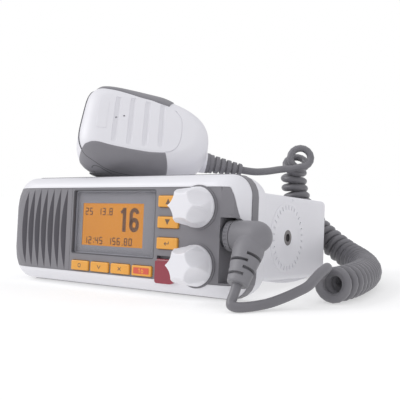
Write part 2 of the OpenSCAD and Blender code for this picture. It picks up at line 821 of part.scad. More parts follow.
module housing_screws() {
    color(METAL) radio() at_corners() difference() {
        union() {
            rod_y([0, housing_back - 10, 0], screw_core_d / 2 - 0.05, fin_root - housing_back + 10 + eps, 24);
            rod_y([0, fin_root, 0], screw_head_d / 2, 2, 32);
        }
        translate([-2, fin_root + 1.2, -0.35]) cube([4, 2, 0.7]);
        translate([-0.35, fin_root + 1.2, -2]) cube([0.7, 2, 4]);
    }
}

// ---------- Inside ----------

speaker_depth = 14;
speaker_rim_w = 2;
speaker_rim_t = 1.2;
cone_depth = 5;
magnet_r = 12;
magnet_front = 7;

module speaker() {
    r = speaker_d / 2;
    color(DARK) radio() translate([speaker_x, grille_t, face_mid]) rotate([-90, 0, 0])
        rotate_extrude($fn = 72)
            polygon([[0, cone_depth], [magnet_r / 4, cone_depth * 1.12],
                [r - speaker_rim_w * 1.7, cone_depth / 3], [r - speaker_rim_w, 0], [r, 0],
                [r, speaker_rim_t], [r - speaker_rim_w, speaker_rim_t * 1.7],
                [magnet_r, magnet_front], [magnet_r, speaker_depth], [0, speaker_depth]]);
}

module front_board() {
    low = opening_low + 1.5;
    high = opening_high - 2;
    color(BOARD) radio() difference() {
        block([panel_left + 1, board_front, low],
            [panel_crease - liner_t - 2.8, board_front + board_t, high]);
        for (z = [volume_z, squelch_z]) rod_y([knob_x, 0, z], 4, big, 32);
    }
}

// One push switch, from the board forward to the point that a pressed key reaches
module switch_at(x, z, front) {
    block([x - 3, board_front - 3, z - 2.5], [x + 3, board_front, z + 2.5]);
    rod_y([x, front, z], 1.6, board_front - 3 - front + eps, 32);
}

key_back = panel_t + 0.35 + 1;
distress_back = panel_t + well_floor_t + 0.35 + 1;

module key_switches() {
    color(METAL) radio() {
        for (i = [0:row_keys - 1]) switch_at(row_key_x(i), row_z, key_back + key_travel + 0.1);
        for (i = [0:2]) switch_at(column_x, column_key_z(i), key_back + key_travel + 0.1);
        switch_at(column_x, distress_z, distress_back + key_travel + 0.1);
    }
}

board_z = housing_base + housing_wall + post_h;

module main_board() {
    color(BOARD) radio() difference() {
        block([-board_x, board_y0, board_z], [board_x, board_y1, board_z + board_t]);
        at_posts() translate([0, 0, 0]) cylinder(d = 2.5, h = big, $fn = 24);
    }
}

screen_left = -50;
screen_right = 30;
screen_inset = 12;
screen_h = 14;
screen_t = 0.6;

module rf_screen() {
    low = [screen_left, board_y0 + screen_inset, board_z + board_t];
    high = [screen_right, board_y1 - screen_inset, board_z + board_t + screen_h];
    color(METAL) radio() difference() {
        block(low, high);
        block(low + [screen_t, screen_t, -1], high - screen_t * [1, 1, 1]);
    }
}

// ---------- Knobs and keys ----------

module pot(z) {
    color(METAL) radio() difference() {
        union() {
            block([knob_x - pot_size / 2, pot_front, z - pot_size / 2],
                [knob_x + pot_size / 2, pot_back, z + pot_size / 2]);
            rod_y([knob_x, 0, z], bush_d / 2, pot_front + eps);
        }
        rod_y([knob_x, -1, z], shaft_d / 2 + shaft_play, pot_back + 0.2);
    }
}

module shaft(z) {
    color(METAL) radio() rod_y([knob_x, -knob_lift - knob_bore_l + 0.5, z], shaft_d / 2,
        knob_lift + knob_bore_l - 0.5 + pot_back - 1.2);
}

// Knob along +Z: a skirt, and a crown whose sides are hollowed between its lobes
module knob_form() {
    r = knob_d / 2;
    flute_r = 9;
    flute_low = 3.2;
    flute_tilt = 17;
    difference() {
        rotate_extrude($fn = 96)
            polygon([[0, 0], [r, 0], [r, 2.2], [r - 0.5, 3], [r - 1.6, knob_h - 3],
                [r - 2.6, knob_h - 1.2], [knob_tip_d / 2, knob_h], [0, knob_h]]);
        for (i = [0:lobes - 1]) rotate([0, 0, 360 * (i + 0.5) / lobes])
            translate([r - 0.7 + flute_r, 0, flute_low]) rotate([0, -flute_tilt, 0])
                cylinder(r = flute_r, h = 2 * knob_h, $fn = 64);
        translate([0, 0, -1]) cylinder(d = shaft_d + 0.04, h = knob_bore_l + 1, $fn = 48);
    }
}

module knob(z) {
    color(WHITE) radio() translate([knob_x, -knob_lift, z]) rotate([90, 0, 0]) knob_form();
}

module volume_pot() { pot(volume_z); }
module volume_shaft() { shaft(volume_z); }
module volume_knob() { knob(volume_z); }
module squelch_pot() { pot(squelch_z); }
module squelch_shaft() { shaft(squelch_z); }
module squelch_knob() { knob(squelch_z); }

// Key cap with a domed face and the lip that keeps it behind the panel
module key(x, z, h, c) {
    color(c) radio() translate([x, 0, z]) {
        translate([0, -key_rise + 0.4, 0]) plate(key_w, h, key_r, key_rise - 0.4 + panel_t + 0.35 + eps);
        translate([0, -key_rise, 0]) plate(key_w - 1, h - 1, key_r, 0.5);
        translate([0, panel_t + 0.35, 0]) plate(key_w + 2 * key_lip, h + 2 * key_lip, key_r, 1);
    }
}

module call_key() { key(row_key_x(0), row_z, key_h, ORANGE); }
module weather_key() { key(row_key_x(1), row_z, key_h, ORANGE); }
module clear_key() { key(row_key_x(2), row_z, key_h, ORANGE); }
module channel_16_key() { key(row_key_x(3), row_z, key_h, ORANGE); }
module channel_up_key() { key(column_x, column_key_z(0), key_h + 0.5, ORANGE); }
module channel_down_key() { key(column_x, column_key_z(1), key_h + 0.5, ORANGE); }
module enter_key() { key(column_x, column_key_z(2), key_h + 0.5, ORANGE); }

module distress_key() {
    lip_y = panel_t + well_floor_t + 0.35;
    color(RED) radio() translate([column_x, 0, distress_z]) {
        translate([0, 0.6, 0]) plate(distress_w, distress_h, key_r, lip_y - 0.6 + eps);
        translate([0, lip_y, 0]) plate(distress_w + 1.6, distress_h + 1.2, key_r, 1);
    }
}

cover_back = -0.15;
barrel_r = 1.3;

module distress_cover() {
    left = column_x - cover_w / 2;
    color(RED) radio() difference() {
        union() {
            translate([0, cover_back, 0]) rotate([90, 0, 0]) linear_extrude(cover_t)
                polygon(concat([[left, cover_pivot_z], [left, cover_low + 1.5]],
                    [for (a = [180:15:270]) [left + 1.5 + 1.5 * cos(a), cover_low + 1.5 + 1.5 * sin(a)]],
                    [for (a = [270:15:360]) [left + cover_w - 4 + 4 * cos(a), cover_low + 4 + 4 * sin(a)]],
                    [[left + cover_w, cover_pivot_z]]));
            rod_x([left, cover_pivot_y, cover_pivot_z], barrel_r, cover_w);
            block([left, cover_back - cover_t, cover_pivot_z - barrel_r],
                [left + cover_w, cover_pivot_y, cover_pivot_z]);
        }
        rod_x([left - 1, cover_pivot_y, cover_pivot_z], cover_pin_d / 2 + 0.05, cover_w + 2, 32);
    }
}

module distress_pin() {
    color(METAL) radio() distress_pin_form(0);
}

// ---------- Microphone socket and plug ----------

socket_neck_d = 10;
socket_barrel_d = 13.4;
socket_l = 4.8;
collar_start = panel_crease + 2.8;
spigot_d = 10;
spigot_start = panel_crease + socket_l - 0.8;
pin_l = 2.4;
plug_start = collar_start + collar_l + 0.3;
elbow_x = plug_start + plug_l;
ball_x = elbow_x + ball_ahead;
elbow = [elbow_x, plug_y, plug_z];
relief_way = [0, -sin(relief_lean), -cos(relief_lean)];
relief_start = 8;
relief_d1 = 16.6;
relief_d2 = 11.4;
pins = 6;

module mic_socket() {
    color(DARK) radio() difference() {
        union() {
            block([panel_crease - liner_t - 2.4, panel_t + 0.2, plug_z - 6.5],
                [panel_crease - liner_t - touch, plug_y + 6.6, plug_z + 6.5]);
            rod_x([panel_crease - liner_t - touch - eps, plug_y, plug_z], socket_neck_d / 2,
                liner_t + touch + 0.1);
            rod_x([panel_crease, plug_y, plug_z], socket_barrel_d / 2, socket_l);
        }
        rod_x([panel_crease + 1.4, plug_y, plug_z], 5.2, socket_l);
    }
}

module at_pins() {
    for (i = [0:pins - 1])
        translate([0, plug_y + 3 * cos(360 * i / pins), plug_z + 3 * sin(360 * i / pins)]) children();
}

module plug_collar() {
    grips = 24;
    color(GREY) radio() difference() {
        rod_x([collar_start, plug_y, plug_z], collar_d / 2, collar_l, 96);
        rod_x([panel_crease, plug_y, plug_z], socket_barrel_d / 2 + 0.2, socket_l + 0.3);
        rod_x([collar_start, plug_y, plug_z], spigot_d / 2 + 0.05, 20);
        for (i = [0:grips - 1])
            translate([0, plug_y, plug_z]) rotate([360 * i / grips, 0, 0])
                rod_x([collar_start + 0.5, 0, collar_d / 2 + 0.35], 0.7, collar_l - 1, 24);
    }
}

module plug_core() {
    rod_x([plug_start, plug_y, plug_z], plug_d / 2, ball_x - plug_start, 96);
    translate([ball_x, plug_y, plug_z]) sphere(d = plug_d, $fn = 96);
}

module plug_body() {
    color(GREY) radio() union() {
        plug_core();
        rod_x([spigot_start, plug_y, plug_z], spigot_d / 2, plug_start - spigot_start + eps);
    }
}

module plug_pins() {
    color(METAL) radio() at_pins() rod_x([spigot_start - pin_l, 0, 0], 0.5, pin_l, 16);
}

// Draws its children with +Z along the strain relief, from the elbow
module along_relief() {
    translate(elbow) rotate([180 - relief_lean, 0, 0]) children();
}

module plug_strain_relief() {
    slot_rows = 4;
    slot_step = 3.7;
    slot_first = 4;
    slot_t = 1.6;
    color(GREY) radio() difference() {
        along_relief() difference() {
            translate([0, 0, relief_start]) union() {
                cylinder(d1 = relief_d1, d2 = relief_d2, h = relief_l - relief_start - 1.5, $fn = 64);
                translate([0, 0, relief_l - relief_start - 1.5])
                    cylinder(d = relief_d2, h = 1.5, $fn = 64);
            }
            for (k = [0:slot_rows - 1]) for (side = [0, 180])
                rotate([0, 0, side + (k % 2) * 90 - 45])
                    translate([0, 0, relief_start + slot_first + slot_step * k])
                        rotate_extrude(angle = 104, $fn = 64) translate([4.4, 0]) square([8, slot_t]);
        }
        translate([ball_x, plug_y, plug_z]) sphere(d = plug_d + 0.02, $fn = 96);
        rod_x([collar_start, plug_y, plug_z], plug_d / 2 + 0.01, ball_x - collar_start, 96);
    }
}

// ---------- Microphone, in its own frame: +X to its cord, -Y its front, +Z its upper side ----------

mic_x = -15.5;
mic_y = 56;
mic_rise = 25.6; // height of its middle over the case
mic_place = [mic_x, mic_y + shift, case_h + mic_rise];
mic_yaw = 42;
mic_pitch = 10.5;
mic_lean = 32;
mic_points = 48;
mic_front_round = 9.5;
mic_rear_round = 10;
// Shares of the depth and of the rounding, from the seam to the face
mic_front_steps = [[0, 0], [0.37, 0.063], [0.66, 0.21], [0.87, 0.526], [1, 1]];
mic_rear_steps = [[0, 0], [0.37, 0.08], [0.68, 0.3], [0.9, 0.65], [1, 1]];

module microphone() {
    translate(mic_place) rotate([-mic_lean, mic_pitch, mic_yaw]) children();
}

// Rounded outline of the microphone, squarer at its top end than at its cord
function mic_outline(inset) = [for (i = [0:mic_points - 1])
    let (a = 360 * i / mic_points, c = cos(a), s = sin(a), n = c > 0 ? 2.4 : 4,
        x = (mic_l / 2 - inset) * sign(c) * pow(abs(c), 2 / n),
        z = (mic_w / 2 - inset) * sign(s) * pow(abs(s), 2 / n))
    [x, z * (1 - mic_taper * x / (mic_l / 2))]];
function mic_rings(steps, depth, round, inset) =
    [for (s = steps) at_depth(mic_outline(s[1] * round + inset), -s[0] * depth)];
function mic_inner(steps, depth, round) = let (rings = mic_rings(steps, depth - mic_wall, round, mic_wall))
    [for (i = [len(rings) - 1:-1:0]) rings[i]];

function mirrored(rings) = [for (i = [len(rings) - 1:-1:0]) [for (p = rings[i]) [p[0], -p[1], p[2]]]];

module shell_form(steps, depth, round) {
    cup(mic_rings(steps, depth, round, 0), mic_inner(steps, depth, round));
}

function part_of(ring, from, to) = [for (i = [from:to]) ring[i]];

// Rubber skin on the shell's side, between two points of its outline
module grip_form(steps, depth, round, from, to, last) {
    outer = mic_rings(steps, depth, round, -grip_t);
    inner = mic_rings(steps, depth, round, -touch / 2);
    patch([for (j = [0:last]) part_of(outer[j], from, to)],
        [for (j = [0:last]) part_of(inner[j], from, to)]);
}

mic_post_d = 7.6;
mic_posts = [[-33, 14], [-33, -12], [26, 0]];
ptt_x = -13;
ptt_y = 7.2;
ptt_proud = grip_t + 0.7;
ptt_gap = 0.3;
neck_y = 6;
neck_z = -4;
neck_d = 15;
neck_end = mic_l / 2 + 2.5;
sound_hole_d = 1.4;
groove_r = 4;
groove_sink = 1.2;
groove_first = -20;

module at_mic_posts() {
    for (p = mic_posts) translate([p[0], 0, p[1]]) children();
}

module mic_front_shell() {
    color(WHITE) microphone() difference() {
        union() {
            shell_form(mic_front_steps, mic_front, mic_front_round);
            // blank raised plate
            translate([-28.5, -mic_front - 0.4, 1]) plate(8, 17, 1.6, 0.4 + eps);
            at_mic_posts() rod_y([0, -mic_front + mic_wall - eps, 0], mic_post_d / 2,
                mic_front - mic_wall - touch);
            // seat of the capsule
            difference() {
                rod_y([capsule_x, -mic_front + mic_wall - eps, 0], capsule_d / 2 + 1.5, 3);
                rod_y([capsule_x, -mic_front + mic_wall, 0], capsule_d / 2 + 0.1, 4);
            }
        }
        for (i = [0:mic_grooves - 1])
            translate([groove_first + groove_pitch * i, -mic_front - groove_r + groove_sink,
                -groove_l / 2]) cylinder(r = groove_r, h = groove_l, $fn = 48);
        for (x = [groove_first + 2.5, groove_first + 7])
            rod_y([x, -big, 2], sound_hole_d / 2, big, 24);
        at_mic_posts() rod_y([0, -11, 0], 1.1, 11, 24);
    }
}

capsule_x = groove_first + 4.75;
capsule_d = 9.6;
capsule_l = 5;
mic_board_y = 4;

module ptt_slot(gap) {
    translate([ptt_x, ptt_y, -mic_w / 2 - 4]) linear_extrude(14)
        polygon(box_outline(-ptt_l / 2 - gap, ptt_l / 2 + gap, -ptt_w / 2 - gap, ptt_w / 2 + gap,
            ptt_w / 2 + gap - 0.5, ptt_w / 2 + gap - 0.5));
}

module mic_rear_shell() {
    color(WHITE) microphone() difference() {
        union() {
            mirror([0, 1, 0]) shell_form(mic_rear_steps, mic_rear, mic_rear_round);
            at_mic_posts() rod_y([0, mic_board_y + 1.3, 0], mic_post_d / 2,
                mic_rear - mic_wall - mic_board_y - 1.3 + eps);
            // neck that the strain relief comes out of
            intersection() {
                rod_x([mic_l / 2 - 12, neck_y, neck_z], neck_d / 2, neck_end - mic_l / 2 + 12);
                block([mic_l / 2 - 9, 0.2, -big], [big, big, big]);
            }
        }
        ptt_slot(ptt_gap);
        at_mic_posts() rod_y([0, -1, 0], 1.5, big, 24);
        at_mic_posts() rod_y([0, mic_rear - 3.2, 0], 2.8, big, 32);
        rod_x([mic_l / 2 - 15, neck_y, neck_z], relief_core_d / 2, 40);
        rod_y([stud_x, 0, 0], 2.1, big, 32);
    }
}

grip_from = 28;
grip_to = 38;
grip_last = 3;

module mic_front_grips() {
    color(GREY) microphone() {
        grip_form(mic_front_steps, mic_front, mic_front_round, grip_from, grip_to, grip_last);
        grip_form(mic_front_steps, mic_front, mic_front_round, mic_points - grip_to,
            mic_points - grip_from, grip_last);
    }
}

module mic_rear_grips() {
    color(GREY) microphone() difference() {
        mirror([0, 1, 0]) union() {
            grip_form(mic_rear_steps, mic_rear, mic_rear_round, grip_from, grip_to, grip_last);
            grip_form(mic_rear_steps, mic_rear, mic_rear_round, mic_points - grip_to,
                mic_points - grip_from, grip_last);
        }
        ptt_slot(ptt_gap);
    }
}

ptt_lip_z = -mic_w / 2 + 4.2;

module ptt_bar() {
    color(DARK) microphone() {
        intersection() {
            ptt_slot(0);
            loft(mirrored(mic_rings(mic_rear_steps, mic_rear, mic_rear_round, -ptt_proud)));
            block([-big, -big, -big], [big, big, ptt_lip_z + eps]);
        }
        translate([ptt_x, ptt_y, ptt_lip_z]) linear_extrude(1.2)
            polygon(box_outline(-ptt_l / 2 + 1, ptt_l / 2 - 1, -4.5, 3.2, 1, 1));
    }
}

switch_top = ptt_lip_z + 1.2 + ptt_travel + 0.1;

module ptt_switch() {
    color(METAL) microphone() {
        block([ptt_x - 4, mic_board_y - 3.6, switch_top + 1.4], [ptt_x + 4, mic_board_y, switch_top + 8]);
        block([ptt_x - 1.5, mic_board_y - 2.6, switch_top],
            [ptt_x + 1.5, mic_board_y - 1, switch_top + 1.4 + eps]);
    }
}

module mic_capsule() {
    color(METAL) microphone() rod_y([capsule_x, -mic_front + mic_wall + 0.05, 0], capsule_d / 2, capsule_l);
}

mic_board_left = -37;
mic_board_right = 32;
mic_board_high = 20;

module mic_board() {
    color(BOARD) microphone() difference() {
        translate([0, mic_board_y + 1.2, 0]) rotate([90, 0, 0]) linear_extrude(1.2)
            polygon(box_outline(mic_board_left, mic_board_right, switch_top + 1.5, mic_board_high, 3, 9));
        at_mic_posts() rod_y([0, 0, 0], 1.6, big, 24);
    }
}

stud_x = -8;
stud_neck_l = 2.2;

module mic_hang_stud() {
    color(METAL) microphone() {
        rod_y([stud_x, mic_rear, 0], 4, stud_neck_l + eps);
        rod_y([stud_x, mic_rear + stud_neck_l, 0], stud_d / 2, 2.4, 64);
        rod_y([stud_x, mic_rear - mic_wall - 2, 0], 2, mic_wall + 2 + eps, 32);
    }
}

module mic_screws() {
    color(METAL) microphone() at_mic_posts() {
        rod_y([0, -9, 0], 1.05, mic_rear - 3.2 + 9 + eps, 24);
        rod_y([0, mic_rear - 3.2, 0], 2.6, 1.8, 32);
    }
}

relief_core_d = 8;
mic_relief_l = 23;
mic_relief_rib = 2.9;

// Ribbed strain relief of the microphone, with the bead that holds it inside the neck
module mic_strain_relief() {
    taper = 2.6;
    color(GREY) microphone() translate([neck_end, neck_y, neck_z]) rotate([0, 90, 0])
        rotate_extrude($fn = 64) polygon(concat(
            [[0, -13], [relief_core_d / 2 - 0.1, -13], [relief_core_d / 2 - 0.1, 0.05], [6.3, 0.05]],
            [for (i = [0:6]) let (z = 0.6 + i * mic_relief_rib, r = 6.3 - taper * i / 6)
                each [[r, z], [r, z + 1.5], [r - 1.1, z + 1.7], [r - 1.1, z + 2.7]]],
            [[cord_d / 2 + 0.3, mic_relief_l], [0, mic_relief_l]]));
}

// ---------- Cord ----------

// A point of the microphone's own frame, in the part's frame
function mic_world(p) = let (
    a = [p[0], p[1] * cos(mic_lean) + p[2] * sin(mic_lean), p[2] * cos(mic_lean) - p[1] * sin(mic_lean)],
    b = [a[0] * cos(mic_pitch) + a[2] * sin(mic_pitch), a[1],
        a[2] * cos(mic_pitch) - a[0] * sin(mic_pitch)])
    mic_place + [b[0] * cos(mic_yaw) - b[1] * sin(mic_yaw), b[0] * sin(mic_yaw) + b[1] * cos(mic_yaw),
        b[2]];

// Axis of the curls, from the front end on the floor, round behind the housing and up
curl_route = [[130, -29, 9.9], [131.5, -11, 9.9], [130.5, 10, 9.9], [126, 34, 9.9], [118, 56, 10.4],
    [108, 72, 12.4], [97, 81, 16.5], [86, 85.5, 23.5], [76, 86.5, 33], [67, 86.5, 44],
    [59, 86.5, 56], [54.5, 87, 67], [55.5, 85.5, 77], [59.5, 80.5, 84], [63.5, 73.5, 86]];
// Bend that leads into the first curl and the one that leads out of the last
curl_lead_in = [[128.5, -45.6, 15], [130.2, -41.6, 18.2], [131, -37.4, 19.9], [130.3, -33.4, 20.1],
    [128, -30.4, 18.5]];
curl_lead_out = [[56.4, 71.5, 77.9], [52.6, 67.9, 77.3]];
curl_r = (curl_od - cord_d) / 2;
curl_from = 135;
curl_rings_less = 3;
curl_open = 3.2;
curl_open_l = 22;
curl_open_end = 2.2;
curl_open_end_l = 20;
fine = 12;
window = 4;

// Smooth curve through the route's points
function bend(p, i, u) = let (
    a = p[max(i - 1, 0)], b = p[i], c = p[i + 1], d = p[min(i + 2, len(p) - 1)])
    0.5 * (2 * b + (c - a) * u + (2 * a - 5 * b + 4 * c - d) * u * u
        + (3 * b - a - 3 * c + d) * u * u * u);
function smooth(p, n) = concat([for (i = [0:len(p) - 2]) for (k = [0:n - 1]) bend(p, i, k / n)],
    [p[len(p) - 1]]);
curl_axis = smooth(curl_route, fine);
axis_last = len(curl_axis) - 1;
axis_step = [for (i = [1:axis_last]) norm(curl_axis[i] - curl_axis[i - 1])];
axis_l = [for (s = axis_step) 1] * axis_step;
// Turning of the axis at each of its points, in radians a millimetre
axis_turn = [for (i = [0:axis_last - 1]) let (
    j = max(i - window, 0), k = min(i + window, axis_last),
    turn = norm(tangent(curl_axis, k) - tangent(curl_axis, j)))
    turn / norm(curl_axis[k] - curl_axis[j])];
// Degrees of curl reached at each point: curls lie closest on the inside of a bend
curl_reach = [for (i = 0, s = 0, a = 0; i <= axis_last;
    i = i + 1,
    s = s + (i <= axis_last ? axis_step[i - 1] : 0),
    a = a + (i <= axis_last ? 360 * axis_step[i - 1]
        * (1 - curl_r * axis_turn[i - 1]) / (cord_d + curl_gap
        + curl_open * max(0, 1 - s / curl_open_l)
        + curl_open_end * max(0, 1 - (axis_l - s) / curl_open_end_l)) : 0)) [a, i]];
curl_rings_n = floor(curl_reach[axis_last][0] / 45 - curl_rings_less);
axis_normals = normals(curl_axis, [1, 0, 0]);
// Centre of the wire after a number of eighths of a curl
function curl_point(k) = let (
    f = lookup(45 * k, curl_reach), i = min(floor(f), axis_last - 1), u = f - i,
    c = curl_axis[i] * (1 - u) + curl_axis[i + 1] * u,
    t = unit(tangent(curl_axis, i) * (1 - u) + tangent(curl_axis, i + 1) * u),
    v = square_to(axis_normals[i] * (1 - u) + axis_normals[i + 1] * u, t),
    w = cross(v, t), a = curl_from + 45 * k)
    c + curl_r * (cos(a) * v + sin(a) * w);
curl_wire = [for (k = [0:curl_rings_n]) curl_point(k)];
curl_path = concat(curl_lead_in, curl_wire, curl_lead_out);
curl_head = curl_path[0];
curl_head_way = unit(curl_path[0] - curl_path[1]);
curl_tail = curl_path[len(curl_path) - 1];
curl_tail_way = unit(curl_tail - curl_path[len(curl_path) - 2]);

// Least gap of the wire to itself, between centres more than half a curl apart
wire_gap = min([for (i = [0:len(curl_path) - 1]) for (j = [i + 5:1:min(i + 20, len(curl_path) - 1)])
    norm(curl_path[i] - curl_path[j])]) - cord_d;
echo(curls = curl_rings_n / 8, least_gap = wire_gap, lowest = min([for (p = curl_path) p[2]]) - cord_d / 2);
echo(first = curl_wire[0], last = [for (k = [curl_rings_n - 8:curl_rings_n]) curl_wire[k]]);
echo(tail = curl_tail, tail_way = curl_tail_way);

module cord_curls() {
    color(DARK) tube(curl_path, cord_d / 2, 6);
}

// Plug lead: out of the strain relief, onto the floor and up to the curls
plug_exit = rested(elbow + relief_way * relief_l);
plug_exit_way = rested_way(relief_way);
plug_route = [[98.6, -77.8, 5.2], [99.6, -78.8, 3.4], [102.6, -77.2, 2.7], [106.5, -71.6, 2.7],
    [111.5, -63.6, 3.6], [116.5, -57, 5.8], [122, -52.6, 8.8]];
plug_lead = concat([plug_exit], smooth(concat([plug_exit + plug_exit_way * cord_d], plug_route,
    [curl_head + curl_head_way * cord_d]), 2), [curl_head]);

module cord_plug_lead() {
    color(DARK) tube(plug_lead, cord_d / 2, 8);
}

// Microphone lead: out of the microphone's strain relief to the last curl
mic_exit = mic_world([neck_end + mic_relief_l, neck_y, neck_z]);
mic_exit_way = unit(mic_world([1, 0, 0]) - mic_world([0, 0, 0]));
mic_route = [[41, 46.6, 74.8], [45.2, 55.4, 75.4]];
mic_lead = concat([mic_exit], smooth(concat([mic_exit + mic_exit_way * cord_d], mic_route,
    [curl_tail + curl_tail_way * cord_d]), 2), [curl_tail]);
echo(plug_exit = plug_exit, plug_way = plug_exit_way, mic_exit = mic_exit, mic_way = mic_exit_way);
echo(shift = shift, tilt = tilt, lift = lift);

module cord_mic_lead() {
    color(DARK) tube(mic_lead, cord_d / 2, 8);
}

front_bezel();
speaker_grille();
control_panel();
display_window();
display_module();
bezel_gasket();
housing();
rear_heat_sink();
rear_seal();
antenna_socket();
antenna_insulator();
power_gland();
bracket_inserts();
housing_screws();
speaker();
front_board();
key_switches();
main_board();
rf_screen();
volume_pot();
volume_shaft();
volume_knob();
squelch_pot();
squelch_shaft();
squelch_knob();
call_key();
weather_key();
clear_key();
channel_16_key();
channel_up_key();
channel_down_key();
enter_key();
distress_key();
distress_cover();
distress_pin();
mic_socket();
plug_collar();
plug_body();
plug_pins();
plug_strain_relief();
cord_plug_lead();
cord_curls();
cord_mic_lead();
mic_front_shell();
mic_rear_shell();
mic_front_grips();
mic_rear_grips();
ptt_bar();
ptt_switch();
mic_capsule();
mic_board();
mic_hang_stud();
mic_screws();
mic_strain_relief();
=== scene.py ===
"""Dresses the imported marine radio: its case, knobs, keys, display, fist microphone and curly cord."""

import math

import bmesh
import bpy
import numpy as np
from mathutils import Matrix, Vector


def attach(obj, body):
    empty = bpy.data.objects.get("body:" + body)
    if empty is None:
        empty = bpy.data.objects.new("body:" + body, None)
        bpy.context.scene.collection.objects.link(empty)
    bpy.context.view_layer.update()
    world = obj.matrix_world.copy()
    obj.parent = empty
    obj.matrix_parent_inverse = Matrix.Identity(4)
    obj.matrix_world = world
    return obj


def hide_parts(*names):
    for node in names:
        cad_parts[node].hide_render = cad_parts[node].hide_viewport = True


bl_info = {
    "name": "Marine radio",
    "version": (1, 0, 0),
    "blender": (4, 5, 0),
    "location": "3D View > Sidebar > Radio",
    "description": "Builds a fixed marine radio with its microphone and curly cord round a packed frame",
    "category": "Add Mesh",
}

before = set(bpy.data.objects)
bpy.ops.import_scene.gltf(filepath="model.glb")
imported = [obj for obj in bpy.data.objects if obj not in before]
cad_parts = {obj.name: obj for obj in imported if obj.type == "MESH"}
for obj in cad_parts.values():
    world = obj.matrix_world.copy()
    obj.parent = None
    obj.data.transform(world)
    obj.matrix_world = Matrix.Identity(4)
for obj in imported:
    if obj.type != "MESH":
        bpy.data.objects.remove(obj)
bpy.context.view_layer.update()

MM = 0.001
BODY = "radio"

# Places that the radio's source states, in millimetres and degrees
TILT = 4.05316
SHIFT = -66.0922
LIFT = 1.60448
CASE_W, CASE_H, CASE_CORNER, PROUD = 185.0, 70.0, 13.0, 0.5
BEZEL_D, BEZEL_WALL, DRAW, DRAW_LEFT, DRAW_RIGHT = 16.2, 2.6, 8.2, 11.5, 6.0
GASKET_BACK, FLANGE_D, HOUSING_D = 22.7, 14.0, 101.3
HOUSING_W, HOUSING_H, HOUSING_BASE, HOUSING_WALL, REAR_ROUND = 176.0, 51.5, 9.5, 2.7, 2.6
INSERT_Y, INSERT_Z, INSERT_D = 66.7, 35.3, 9.5
CREASE, OPEN_LOW, OPEN_HIGH, FOLD, NOTCH_HIGH = 82.4, 8.8, 61.5, 2.7, 45.0
GRILLE_WRAP, LINER = 10.0, 2.2
WINDOW_X, WINDOW_Z, WINDOW_W, WINDOW_H = 4.0, 40.1, 67.6, 40.2
LCD_W, LCD_H, LCD_Z = 50.2, 26.3, 38.8
KNOB_X, VOLUME_Z, SQUELCH_Z, KNOB_D, KNOB_H, KNOB_LIFT = 67.9, 50.2, 18.4, 22.8, 16.4, 0.9
COLUMN_X = 47.6
KEYS = {
    "call_key": (-20.6, 12.9, 6.0),
    "weather_key": (-3.8, 12.9, 6.0),
    "clear_key": (13.0, 12.9, 6.0),
    "channel_16_key": (29.8, 12.9, 6.0),
    "channel_up_key": (COLUMN_X, 53.3, 6.5),
    "channel_down_key": (COLUMN_X, 41.4, 6.5),
    "enter_key": (COLUMN_X, 29.5, 6.5),
}
PLUG_Y, PLUG_Z, PLUG_D, PLUG_START, ELBOW_X, BALL_X = 6.4, 35.3, 17.0, 88.6, 99.0, 101.2
NOTCH_GAP, FLARE_HIGH, FLARE_W = 0.5, 59.0, 3.9
COVER_W, COVER_T, COVER_LOW, PIVOT_Y, PIVOT_Z = 14.6, 1.5, 6.9, 0.9, 19.4
MIC_PLACE = (-15.5, 56 + SHIFT, 95.6)
MIC_YAW, MIC_PITCH, MIC_LEAN = 42.0, 10.5, 32.0
MIC_L, MIC_W, MIC_FRONT, MIC_REAR, MIC_TAPER = 89.0, 62.0, 18.7, 15.9, 0.08

# Places and forms that this script sets itself: the display's glass behind its window, the keys' caps, the
# knobs' flutes, the slots in the plug's strain relief, and each half of the microphone as shares of its depth
# with the inset of its outline there
LENS_Y, GLASS_Y, GLASS_X = 2.45, 3.0, 1.5
KEY_W, KEY_LIP_W, KEY_LIP_RIM, KEY_CORNER, KEY_RISE = 14.8, 16.2, 1.4, 0.8, 1.2
PRINT_T, DIGIT_T = 0.07, 0.03
FLUTE_R = 9
SLOT_R, SLOT_ANGLE = 4.6, 104
FRONT_STEPS = ((0, 0.35), (0.02, 0), (0.37, 0.6), (0.66, 2.0), (0.87, 5.0), (1, 9.5), (1.016, 15))
REAR_STEPS = ((0, 0.35), (0.02, 0), (0.37, 0.8), (0.68, 3.0), (0.9, 6.5), (1, 10), (1.012, 15))
MARK_TURN = -3.8
MIC_ROUND_RIGHT, MIC_SQUARE_TOP, MIC_ROUND_LOW = 2.4, 5.4, 3.5
FACE_INSET = 15
SHELL_SIDES, SHELL_RINGS = 160, 34
GRIP_T, GRIP_UNDER, LOW_SHARE = 0.5, 0.8, 0.02

